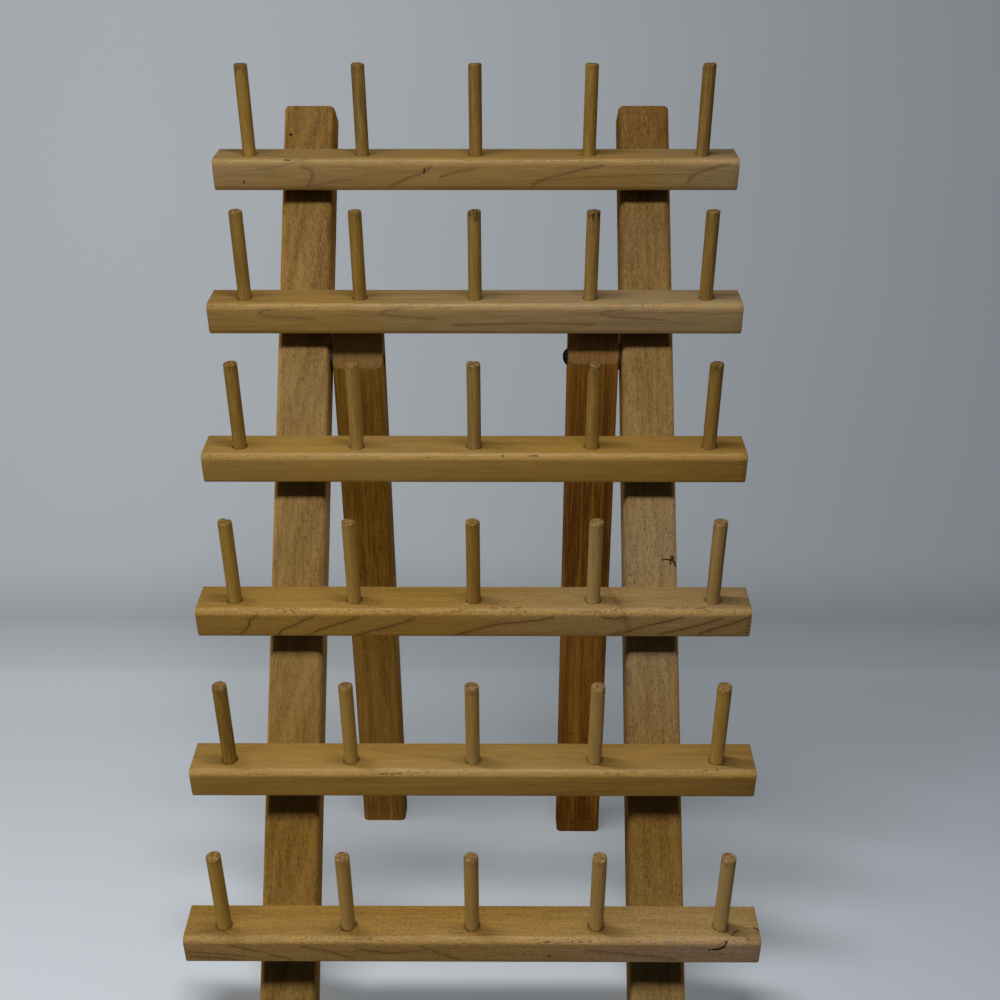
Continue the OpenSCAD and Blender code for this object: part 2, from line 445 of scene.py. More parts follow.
class Signal:
    """A number that varies over a surface, kept as the node socket that gives it."""

    def __init__(self, graph: Graph, socket: bpy.types.NodeSocket) -> None:
        """Keeps a socket and the graph that it belongs to."""
        self.graph = graph
        self.socket = socket

    def __add__(self, other: Operand) -> Signal:
        """Returns the sum."""
        return self.graph.maths("ADD", self, other)

    def __radd__(self, other: Operand) -> Signal:
        """Returns the sum."""
        return self.graph.maths("ADD", other, self)

    def __sub__(self, other: Operand) -> Signal:
        """Returns the difference."""
        return self.graph.maths("SUBTRACT", self, other)

    def __rsub__(self, other: Operand) -> Signal:
        """Returns the difference."""
        return self.graph.maths("SUBTRACT", other, self)

    def __mul__(self, other: Operand) -> Signal:
        """Returns the product."""
        return self.graph.maths("MULTIPLY", self, other)

    def __rmul__(self, other: Operand) -> Signal:
        """Returns the product."""
        return self.graph.maths("MULTIPLY", other, self)

    def __truediv__(self, other: Operand) -> Signal:
        """Returns the quotient."""
        return self.graph.maths("DIVIDE", self, other)

    def __rtruediv__(self, other: Operand) -> Signal:
        """Returns the quotient."""
        return self.graph.maths("DIVIDE", other, self)

    def __abs__(self) -> Signal:
        """Returns the size without its sign."""
        return self.graph.maths("ABSOLUTE", self)

    def fract(self) -> Signal:
        """Returns the part after the point."""
        return self.graph.maths("FRACT", self)

    def highest(self, other: Operand) -> Signal:
        """Returns the larger of two."""
        return self.graph.maths("MAXIMUM", self, other)

    def lowest(self, other: Operand) -> Signal:
        """Returns the smaller of two."""
        return self.graph.maths("MINIMUM", self, other)

    def rise(self, low: float, high: float) -> Signal:
        """Returns a soft step between two numbers, either of which may be the larger.

        Args:
            low: Where it is 0.
            high: Where it is 1.

        Returns:
            The step, from 0 to 1.
        """
        stops = (low, high, 0.0, 1.0) if low < high else (high, low, 1.0, 0.0)
        inputs = dict(zip(("From Min", "From Max", "To Min", "To Max"), stops))
        made = self.graph.node(
            "ShaderNodeMapRange", {"Value": self, **inputs}, interpolation_type="SMOOTHSTEP"
        )
        return Signal(self.graph, made.outputs["Result"])


class Graph:
    """The node tree of a material, a lamp or the world, written as expressions."""

    def __init__(self, owner: bpy.types.ID) -> None:
        """Empties the node tree of its owner.

        Args:
            owner: The material, lamp or world.
        """
        owner.use_nodes = True
        self.owner = owner
        self.tree = owner.node_tree
        self.tree.nodes.clear()

    def node(
        self, kind: str, inputs: dict[str | int, Any] | None = None, **settings: Any
    ) -> bpy.types.Node:
        """Adds a node.

        Args:
            kind: The node's type.
            inputs: The values or links of its sockets, by name or number.
            **settings: Its own settings, which are set first.

        Returns:
            The new node.
        """
        made = self.tree.nodes.new(kind)
        for key, value in settings.items():
            setattr(made, key, value)
        for key, value in (inputs or {}).items():
            source = value.socket if isinstance(value, Signal) else value
            if isinstance(source, bpy.types.NodeSocket):
                self.tree.links.new(source, made.inputs[key])
            else:
                made.inputs[key].default_value = source
        return made

    def maths(self, operation: str, *operands: Operand) -> Signal:
        """Adds a Math node and returns its value."""
        made = self.node("ShaderNodeMath", dict(enumerate(operands)), operation=operation)
        return Signal(self, made.outputs[0])

    def vector(self, operation: str, *operands: Any, output: str = "Vector") -> Signal:
        """Adds a Vector Math node and returns its vector, or its number as the output Value."""
        made = self.node("ShaderNodeVectorMath", dict(enumerate(operands)), operation=operation)
        return Signal(self, made.outputs[output])

    def length(self, x: Operand, y: Operand, z: Operand) -> Signal:
        """Returns the length of the vector with three parts."""
        return self.vector("LENGTH", self.joined(x, y, z), output="Value")

    def read(self, kind: str, output: str, **settings: Any) -> Signal:
        """Adds a node without inputs and returns one of its outputs."""
        return Signal(self, self.node(kind, **settings).outputs[output])

    def layer(self, name: str, output: str = "Fac") -> Signal:
        """Returns one of the mesh's own layers, a number as Fac or a vector as Vector."""
        return self.read("ShaderNodeAttribute", output, attribute_name=name)

    def parts(self, vector: Signal) -> tuple[Signal, ...]:
        """Returns the three parts of a vector."""
        made = self.node("ShaderNodeSeparateXYZ", {0: vector})
        return tuple(Signal(self, output) for output in made.outputs)

    def joined(self, x: Operand, y: Operand, z: Operand) -> Signal:
        """Returns the vector with three parts."""
        return Signal(self, self.node("ShaderNodeCombineXYZ", {0: x, 1: y, 2: z}).outputs[0])

    def shifted(self, vector: Signal, seed: Signal, steps: Point) -> Signal:
        """Returns a vector moved by a number of steps."""
        return self.vector("ADD", vector, self.joined(*(seed * step for step in steps)))

    def stretched(self, vector: Signal, grain: Size) -> Signal:
        """Returns a vector measured in grains of a size, such as a fibre's length and width."""
        return self.vector("MULTIPLY", vector, tuple(1 / size for size in grain))

    def noise(self, vector: Signal, grain: Size, detail: float = 2.0) -> Signal:
        """Returns soft noise.

        Args:
            vector: The place.
            grain: The size of its grains along the fibre and across it.
            detail: How finely it is broken up.

        Returns:
            The noise, from about 0 to 1.
        """
        inputs = {"Scale": 1.0, "Detail": detail, "Roughness": 0.55}
        made = self.node(
            "ShaderNodeTexNoise",
            {"Vector": self.stretched(vector, grain), **inputs},
            noise_dimensions="3D",
        )
        return Signal(self, made.outputs["Fac"])

    def cells(self, vector: Signal, grain: Size) -> tuple[Signal, Signal]:
        """Returns scattered cells.

        Args:
            vector: The place.
            grain: Their size along the fibre and across it.

        Returns:
            How far the place is from its cell's middle, and the cell's own chance from 0 to 1.
        """
        made = self.node(
            "ShaderNodeTexVoronoi",
            {"Vector": self.stretched(vector, grain), "Scale": 1.0, "Randomness": 1.0},
            voronoi_dimensions="3D", feature="F1",
        )
        chance, _, _ = self.parts(Signal(self, made.outputs["Color"]))
        return Signal(self, made.outputs["Distance"]), chance

    def blend(self, share: Operand, first: Any, second: Any, mode: Mix = Mix.COVER) -> Signal:
        """Mixes two colours.

        Args:
            share: How much of the second one shows, from 0 to 1.
            first: A colour or a link.
            second: A colour or a link.
            mode: How they are mixed.

        Returns:
            The mixed colour.
        """
        paints = [(*value, 1.0) if isinstance(value, tuple) else value for value in (first, second)]
        made = self.node(
            "ShaderNodeMix",
            {0: share, 6: paints[0], 7: paints[1]},
            data_type="RGBA", blend_type=mode.value, clamp_factor=True,
        )
        return Signal(self, made.outputs[2])

    def gap(self, place: Signal, points: Sequence[Vector]) -> Signal:
        """Measures how far a place lies from a line.

        Args:
            place: The place.
            points: The points that the line runs through.

        Returns:
            The distance.
        """
        least: Operand = 1.0
        for start, stop in zip(points, points[1:]):
            span = stop - start
            offset = self.vector("SUBTRACT", place, tuple(start))
            pace = tuple(span / span.length_squared)
            share = self.vector("DOT_PRODUCT", offset, pace, output="Value")
            share = share.highest(0.0).lowest(1.0)
            made = self.node(
                "ShaderNodeVectorMath", {0: tuple(span), "Scale": share}, operation="SCALE"
            )
            rest = self.vector("SUBTRACT", offset, made.outputs["Vector"])
            least = self.vector("LENGTH", rest, output="Value").lowest(least)
        return least

    def finish(self, sockets: dict[str, Any], height: Signal, depth: float) -> bpy.types.Material:
        """Closes a material's tree.

        Args:
            sockets: The values or links of its shader.
            height: The height of its bump.
            depth: How deep the bump is where that height is 1.

        Returns:
            The material.
        """
        bump = self.node("ShaderNodeBump", {"Height": height, "Distance": depth, "Strength": 1.0})
        sockets = {**sockets, "Normal": bump.outputs["Normal"]}
        shader = self.node("ShaderNodeBsdfPrincipled", sockets)
        self.node("ShaderNodeOutputMaterial", {"Surface": shader.outputs["BSDF"]})
        return self.owner


@dataclass(frozen=True)
class Mark:
    """Dark lines in one piece: growth lines, cracks, knots, nicks or a painted peg shadow.

    Attributes:
        lines: Each line's points in the piece's own frame in millimetres, along the grain and
            across it.
        width: Half a line's width.
        depth: How strongly they show.
        colour: Their colour.
        waver: How far they wander from their points.
        halo: How far the wood beside them is darker too.
        broken: How much they fade here and there.
        cut: How deep they are, as a share of the grain's relief.
    """

    WANDER_SIZE = mm(2.6, 2.6, 2.6)
    FADE_SIZE = mm(3.5, 3.5, 3.5)

    lines: tuple[Line, ...]
    width: float = 0.5 * MM
    depth: float = 0.9
    colour: Colour = srgb(20, 10, 6)
    waver: float = 0.5 * MM
    halo: float = 0.0
    broken: float = 0.25
    cut: float = 2.0

    def spot(self, graph: Graph, own: Signal, place: Signal) -> Signal:
        """Draws the mark.

        Args:
            graph: The material's graph.
            own: The place in the piece's own frame.
            place: The place in the wood.

        Returns:
            How strongly it shows at the place, from 0 to 1.
        """
        push = (graph.noise(place, self.WANDER_SIZE, 3.0) - 0.5) * (2 * self.waver)
        wandered = graph.vector("ADD", own, graph.joined(push, push * -0.8, push))
        gap: Operand = 1.0
        for line in self.lines:
            gap = graph.gap(wandered, [Vector(point) * MM for point in line]).lowest(gap)
        fade = graph.noise(place, self.FADE_SIZE).rise(0.28, 0.55)
        spot = gap.rise(self.width, self.width * 0.6) * (fade * self.broken + (1 - self.broken))
        if self.halo:
            spot = spot.highest(gap.rise(self.halo, 0.0) * 0.3)
        return spot


@dataclass(frozen=True)
class Seats:
    """A row of peg seats along a bar, with dark rims that are partly bruising and partly
    painted shade where the pegs meet the bar.

    Attributes:
        pitch: The distance between two seats.
        back: How far they lie in front of the bar's upper back edge.
        radius: A seat's radius.
    """

    RAGGED_SIZE = mm(1.6, 1.6, 1.6)
    PATCH_SIZE = mm(4, 4, 4)

    pitch: float
    back: float
    radius: float

    def rim_bruise_and_shade(self, graph: Graph, own: Signal, place: Signal) -> Signal:
        """Draws the dark broken rings, partly bruising and partly painted shade at the pegs' feet.

        Args:
            graph: The material's graph.
            own: The place in the piece's own frame.
            place: The place in the wood.

        Returns:
            How strongly they show at the place, from 0 to 1.
        """
        along, across, up = graph.parts(own)
        beside = ((along / self.pitch + 0.5).fract() - 0.5) * self.pitch
        ragged = (graph.noise(place, self.RAGGED_SIZE) - 0.5) * (2.2 * MM)
        away = graph.length(beside, across + self.back, 0.0) + ragged
        patch = graph.noise(place, self.PATCH_SIZE, 1.0).rise(0.4, 0.6)
        ring = away.rise(self.radius + 1.1 * MM, self.radius + 0.2 * MM) * (patch * 0.7 + 0.3)
        return ring * up.rise(-2.5 * MM, -1.0 * MM)


@dataclass(frozen=True)
class WoodFinish:
    """Sanded wood under a thin satin coat.

    Attributes:
        name: The finish's name.
        pale: The colour between the growth lines.
        deep: The colour of the denser wood.
        line: The colour of the growth lines.
        fleck: The colour of the short flecks.
        rings: How strongly the growth lines show.
        waver: How far the growth lines wander, in rings.
        fibre: How strongly the fibres show.
        fibre_size: The length and the width of a fibre.
        cloud: How strongly the broad figure shows.
        figure_size: The length and the two widths of the broad figure.
        flecks: How strongly the dark flecks show.
        glints: How strongly the pale flecks between them show.
        fleck_size: The length and the width of a fleck.
        stipple: How strongly the surface is speckled.
        roughness: The coat's roughness.
        gloss: The coat's specular level.
        raw: How much the end grain differs.
        sawn: The colour of the end grain.
        relief: The depth of the grain's bump.
        arris: How far its upper front edge lies in front of its origin, or none. That edge is worn,
        and painted paler as a highlight.
        arris_wear: How strongly that edge is torn.
        front_bounce_light: How much paler and more ashen the front face is than the top: painted
        light that the pale floor throws back up onto it.
        chips: How strongly the free end is chipped.
    """

    # How far a piece's seed moves its grain and its broad figure.
    GRAIN_STEPS = (0.37, 0.29, 0.23)
    FIGURE_STEPS = (0.31, 0.17, 0.41)
    # How far the pale flecks lie from the dark ones.
    GLINT_STEP = (0.05, 0.03, 0.07)
    # The density of plain wood, from pale to deep.
    PLAIN_DENSITY = 0.42
    # The sizes of the patterns in the wood.
    SPECK_SIZE = mm(0.9, 0.7, 0.7)
    DRIFT_SIZE = mm(60, 14, 14)
    JITTER_SIZE = mm(6, 1.5, 1.5)
    RING_PATCH_SIZE = mm(40, 9, 9)
    FLECK_PATCH_SIZE = mm(40, 14, 14)
    STREAK_SIZE = mm(7, 0.8, 0.8)
    TEAR_SIZE = mm(1.8, 0.7, 0.7)
    TEAR_PATCH_SIZE = mm(22, 8, 8)
    LIFTED_SIZE = mm(1.5, 0.6, 0.6)
    SPLIT_SIZE = mm(5, 0.9, 0.9)
    SOIL_SIZE = mm(1.4, 1.4, 1.4)
    # The lengths along a peg between which its splits grow, and the radii for its end's soil.
    SPLIT_REACH = mm(36.5, 43.2)
    RIM_REACH = mm(2.3, 3.0)
    SPLIT_COLOUR = srgb(30, 20, 12)
    SEAT_BRUISE_AND_SHADE = srgb(52, 32, 14)

    name: str
    pale: Colour
    deep: Colour
    line: Colour
    fleck: Colour
    rings: float = 0.5
    waver: float = 0.6
    fibre: float = 0.5
    fibre_size: Size = mm(16, 0.7)
    cloud: float = 0.4
    figure_size: Size = mm(70, 22, 22)
    flecks: float = 0.4
    glints: float = 0.0
    fleck_size: Size = mm(3, 0.6)
    stipple: float = 0.2
    roughness: float = 0.55
    gloss: float = 0.28
    raw: float = 0.25
    sawn: Colour = srgb(92, 60, 28)
    relief: float = 0.06 * MM
    arris: float | None = None
    arris_wear: float = 0.0
    front_bounce_light: float = 0.0
    chips: float = 0.0

    def material(
        self, name: str, marks: Sequence[Mark] = (), seats: Seats | None = None
    ) -> bpy.types.Material:
        """Builds the finish.

        Args:
            name: What the new material is named for.
            marks: The dark lines that only this piece has.
            seats: The row of peg seats that it has.

        Returns:
            The material.
        """
        graph = Graph(bpy.data.materials.new(f"{self.name}_{name}"))
        own = graph.layer("fibre", "Vector")
        seed = graph.layer("seed")
        place = graph.shifted(own, seed, self.GRAIN_STEPS)
        lie = graph.shifted(graph.layer("figure", "Vector"), seed, self.FIGURE_STEPS)
        end = graph.layer("end").rise(0.3, 0.95)
        line, late = self._rings(graph, place)
        length, width = self.fibre_size
        fine = graph.noise(place, (length, width, width), 3.0)
        broad = graph.noise(place, (length * 4, width * 4, width * 4), 3.0)
        cloud = graph.noise(lie, self.figure_size)
        speck = graph.noise(place, self.SPECK_SIZE)
        fleck, glint = self._flecks(graph, place)

        density = late + (fine - 0.5) * (2.2 * self.fibre) + (broad - 0.5) * (1.6 * self.fibre)
        density = density + (speck - 0.5) * (2.0 * self.stipple)
        density = density + (cloud - 0.5) * (1.6 * self.cloud)
        density = density - graph.layer("tone") + self.PLAIN_DENSITY
        colour = graph.blend(density, self.pale, self.deep)
        colour = graph.blend(line, colour, self.line)
        colour = graph.blend(glint * self.glints, colour, self.pale)
        colour = graph.blend(fleck * self.flecks, colour, self.fleck)
        colour = graph.blend(end * self.raw, colour, self.sawn)
        colour = graph.blend(graph.layer("ash"), colour, ASHEN, Mix.TINT)
        height = fine * 0.5 + broad * 0.35 + speck * 0.3 - fleck * 0.7 - line * 0.4
        rough = (fine - 0.5) * 0.16 + (cloud - 0.5) * 0.12 + end * 0.2 + self.roughness

        if self.arris is not None:
            colour, height, rough = self._wear_and_highlight(graph, own, place, colour, height, rough)
        if self.chips:
            chip = self._chipped(graph, own, place)
            colour = graph.blend(chip * 0.85, colour, self.SPLIT_COLOUR)
            soil, scrape = self._soiled(graph, own, place)
            colour = graph.blend(soil * end * 0.7, colour, self.fleck)
            colour = graph.blend(scrape * end * 0.5, colour, self._paler(1.25))
            height = height - chip * 3.0 - soil * end * 0.8
        if seats is not None:
            # Painted shade and bruising round each peg's seat.
            rim_bruise_and_shade = seats.rim_bruise_and_shade(graph, own, place)
            colour = graph.blend(rim_bruise_and_shade * 0.6, colour, self.SEAT_BRUISE_AND_SHADE)
            height = height - rim_bruise_and_shade
        for mark in marks:
            spot = mark.spot(graph, own, place)
            colour = graph.blend(spot * mark.depth, colour, mark.colour)
            height = height - spot * (mark.cut * mark.depth)
            rough = rough + spot * (0.2 * mark.cut)
        sockets = {"Base Color": colour, "Roughness": rough, "Specular IOR Level": self.gloss}
        return graph.finish(sockets, height, self.relief)

    def _paler(self, gain: float) -> Colour:
        """Returns the pale colour, made brighter."""
        return tuple(part * gain for part in self.pale)

    def _rings(self, graph: Graph, place: Signal) -> tuple[Signal, Signal]:
        """Draws the years' growth.

        Args:
            graph: The material's graph.
            place: The place in the wood.

        Returns:
            The growth lines, and how late in its year the wood grew.
        """
        _, across, through = graph.parts(graph.layer("log", "Vector"))
        drift = (graph.noise(place, self.DRIFT_SIZE) - 0.5) * self.waver
        jitter = (graph.noise(place, self.JITTER_SIZE) - 0.5) * 0.06
        age = (graph.length(0.0, across, through) + drift + jitter).fract()
        strength = graph.noise(place, self.RING_PATCH_SIZE, 1.0).rise(0.36, 0.6)
        line = abs(age - 0.93).rise(0.05, 0.012) * strength * self.rings
        return line, age * age * (0.3 * self.rings)

    def _flecks(self, graph: Graph, place: Signal) -> tuple[Signal, Signal]:
        """Draws the short flecks.

        Args:
            graph: The material's graph.
            place: The place in the wood.

        Returns:
            The dark flecks and the pale ones between them.
        """
        length, width = self.fleck_size
        size = (length, width, width)
        gap, chance = graph.cells(place, size)
        patch = graph.noise(place, self.FLECK_PATCH_SIZE, 1.0).rise(0.2, 0.75)
        dark = gap.rise(0.46, 0.2) * chance.rise(0.25, 0.9) * patch
        gap, chance = graph.cells(graph.vector("ADD", place, self.GLINT_STEP), size)
        return dark, gap.rise(0.5, 0.2) * chance.rise(0.35, 0.9)

    def _wear_and_highlight(
        self,
        graph: Graph,
        own: Signal,
        place: Signal,
        colour: Signal,
        height: Signal,
        rough: Signal,
    ) -> tuple[Signal, Signal, Signal]:
        """Wears the upper front edge: smoother, with torn specks, and paler, partly as rubbed wear
        and partly as a painted highlight.

        Args:
            graph: The material's graph.
            own: The place in the piece's own frame.
            place: The place in the wood.
            colour: The colour so far.
            height: The height so far.
            rough: The roughness so far.

        Returns:
            The new colour, height and roughness.
        """
        _, across, through = graph.parts(own)
        inward = across + self.arris
        worn = inward.highest(through * -1.0).rise(4.2 * MM, 0.9 * MM)
        streak = graph.noise(place, self.STREAK_SIZE).rise(0.35, 0.65)
        tear = graph.noise(place, self.TEAR_SIZE).rise(0.56, 0.64)
        patch = graph.noise(place, self.TEAR_PATCH_SIZE, 1.0).rise(0.44, 0.6)
        lifted = graph.noise(place, self.LIFTED_SIZE).rise(0.54, 0.64) * worn * self.arris_wear
        torn = tear * patch * worn * self.arris_wear
        # Painted bounce light: the front face is tinted paler and more ashen than the top.
        if self.front_bounce_light:
            front = inward.rise(3.2 * MM, 1.0 * MM)
            colour = graph.blend(front * self.front_bounce_light, colour, BOUNCE_LIGHT_TINT, Mix.TINT)
        # Painted highlight: the rounded edge is paler in broken streaks, partly standing for rubbed
        # wear.
        colour = graph.blend(worn * streak * 0.5, colour, self._paler(1.1))
        colour = graph.blend(lifted * 0.5, colour, self._paler(1.5))
        colour = graph.blend(torn * 0.8, colour, self.fleck)
        return colour, height - torn * 1.4, rough - worn * (0.05 * streak)

    def _chipped(self, graph: Graph, own: Signal, place: Signal) -> Signal:
        """Draws the dark splits at the free end of the pieces that have a chip layer.

        Args:
            graph: The material's graph.
            own: The place in the piece's own frame.
            place: The place in the wood.

        Returns:
            How strongly they show at the place.
        """
        along, _, _ = graph.parts(own)
        near = along.rise(*self.SPLIT_REACH)
        split = (graph.noise(place, self.SPLIT_SIZE) + near * 0.2).rise(0.66, 0.72)
        return split * near.rise(0.1, 0.5) * graph.layer("chip") * self.chips

    def _soiled(self, graph: Graph, own: Signal, place: Signal) -> tuple[Signal, Signal]:
        """Draws the wear of a round end.

        Args:
            graph: The material's graph.
            own: The place in the piece's own frame.
            place: The place in the wood.

        Returns:
            The soiled and the scraped patches.
        """
        _, across, through = graph.parts(own)
        patch = graph.noise(place, self.SOIL_SIZE)
        rim = graph.length(0.0, across, through).rise(*self.RIM_REACH)
        return (patch + rim * 0.1).rise(0.52, 0.62), patch.rise(0.46, 0.36)


@dataclass(frozen=True)
class MetalFinish:
    """Screw metal, brushed by handling.

    Attributes:
        name: The finish's name.
        plain: The colour of the coat.
        rubbed: The colour where the coat is thin.
        metallic: How much it is bare metal.
        roughness: Its roughness.
        relief: The depth of its bump.
    """

    CLOUD_SIZE = mm(3, 3, 3)
    SCRATCH_SIZE = mm(0.25, 4, 0.25)

    name: str
    plain: Colour
    rubbed: Colour
    metallic: float
    roughness: float
    relief: float = 0.03 * MM

    def material(self) -> bpy.types.Material:
        """Builds the finish.

        Returns:
            The material.
        """
        graph = Graph(bpy.data.materials.new(self.name))
        place = graph.read("ShaderNodeTexCoord", "Object")
        cloud = graph.noise(place, self.CLOUD_SIZE, 3.0)
        scratch = graph.noise(place, self.SCRATCH_SIZE)
        bare = (cloud * 0.6 + scratch * 0.4).rise(0.5, 0.68)
        colour = graph.blend(bare, self.plain, self.rubbed)
        rough = (cloud - 0.5) * 0.3 + (scratch - 0.5) * 0.2 + self.roughness
        sockets = {"Base Color": colour, "Roughness": rough, "Metallic": self.metallic}
        return graph.finish(sockets, scratch * 0.6 + cloud, self.relief)


BAR_WOOD = WoodFinish(
    name="bar_wood", pale=srgb(155, 121, 54), deep=srgb(119, 88, 33), line=srgb(88, 58, 28),
    fleck=srgb(98, 66, 30), cloud=0.35, flecks=0.3, glints=0.3, fleck_size=mm(2.6, 0.55),
    stipple=0.3, roughness=0.54, gloss=0.42, arris=BAR_DEPTH, arris_wear=0.8,
)
PLAIN_BAR_WOOD = replace(BAR_WOOD, name="plain_bar_wood", rings=0.15, cloud=0.3, flecks=0.25)
TORN_BAR_WOOD = replace(
    BAR_WOOD, name="torn_bar_wood", rings=0.1, stipple=1.05, flecks=0.45, glints=0.5,
    arris_wear=1.3, gloss=0.3,
)
# Bar 6's finish: torn, with painted bounce light on its front face.
TORN_BOUNCE_LIT_BAR_WOOD = replace(TORN_BAR_WOOD, name="torn_bounce_lit_bar_wood", front_bounce_light=0.35)
POST_WOOD = WoodFinish(
    name="post_wood", pale=srgb(184, 143, 66), deep=srgb(112, 77, 25), line=srgb(92, 58, 24),
    fleck=srgb(70, 44, 18), rings=0.25, waver=1.4, fibre_size=mm(3, 0.5), cloud=0.5,
    figure_size=mm(80, 9, 30), flecks=0.95, glints=0.4, fleck_size=mm(2, 0.45), stipple=0.4,
    roughness=0.6, gloss=0.14,
)
FIGURED_POST_WOOD = replace(
    POST_WOOD, name="figured_post_wood", cloud=0.8, figure_size=mm(70, 7, 30), flecks=0.7
)
LEG_WOOD = WoodFinish(
    name="leg_wood", pale=srgb(150, 113, 48), deep=srgb(98, 68, 22), line=srgb(62, 38, 14),
    fleck=srgb(54, 32, 12), rings=0.2, waver=0.5, fibre=0.6, fibre_size=mm(14, 0.7), cloud=0.6,
    figure_size=mm(200, 5, 12), flecks=0.8, glints=0.3, fleck_size=mm(3.6, 0.6), roughness=0.5,
    gloss=0.2, raw=0.85, sawn=srgb(172, 130, 96),
)
STREAKED_LEG_WOOD = replace(
    LEG_WOOD, name="streaked_leg_wood", pale=srgb(152, 106, 42), deep=srgb(82, 50, 16), rings=0.5,
    fibre_size=mm(26, 0.8), cloud=1.2, figure_size=mm(220, 4, 12),
)
PEG_WOOD = WoodFinish(
    name="peg_wood", pale=srgb(163, 128, 57), deep=srgb(108, 80, 28), line=srgb(88, 60, 28),
    fleck=srgb(84, 56, 26), rings=0.25, fibre=0.6, fibre_size=mm(12, 0.6), flecks=0.45,
    glints=0.35, fleck_size=mm(2.6, 0.5), roughness=0.5, gloss=0.3, raw=0.55,
    sawn=srgb(104, 76, 40), chips=1.0,
)
BLACK_STEEL = MetalFinish("black_steel", srgb(30, 30, 32), srgb(74, 74, 76), 0.7, 0.42)
BROWNED_STEEL = MetalFinish("browned_steel", srgb(48, 34, 24), srgb(74, 54, 40), 0.5, 0.6)
SCREW_STEEL = MetalFinish("screw_steel", srgb(168, 168, 164), srgb(205, 204, 200), 0.6, 0.38)

FIGURE = srgb(90, 58, 28)
KNOT = srgb(40, 20, 6)
PAINTED_PEG_SHADOW = srgb(96, 60, 22)
BRUISE = srgb(98, 60, 26)
FRONT = -BAR_DEPTH / MM


def front(*points: tuple[float, float]) -> Line:
    """Returns a line on a bar's front from places along it and heights, in millimetres."""
    return tuple((along, FRONT, height) for along, height in points)


def top(*points: tuple[float, float]) -> Line:
    """Returns a line on a bar's top from places along it and depths, in millimetres."""
    return tuple((along, depth, 0.0) for along, depth in points)


def end_nicks(along: float, *heights: float) -> list[Line]:
    """Returns short lines at the right end of a bar's front, in millimetres."""
    return [front((along, height), (129.2, height - 0.3)) for height in heights]


def nicks(*lines: Line, **changes: Any) -> Mark:
    """Returns dark nicks or cracks, with what sets them apart from the usual ones."""
    return Mark(lines, **changes)


def growth(*lines: Line, **changes: Any) -> Mark:
    """Returns soft growth lines, with what sets them apart from the usual ones."""
    return replace(Mark(lines, colour=FIGURE, halo=2.4 * MM, broken=0.5, cut=0.0), **changes)


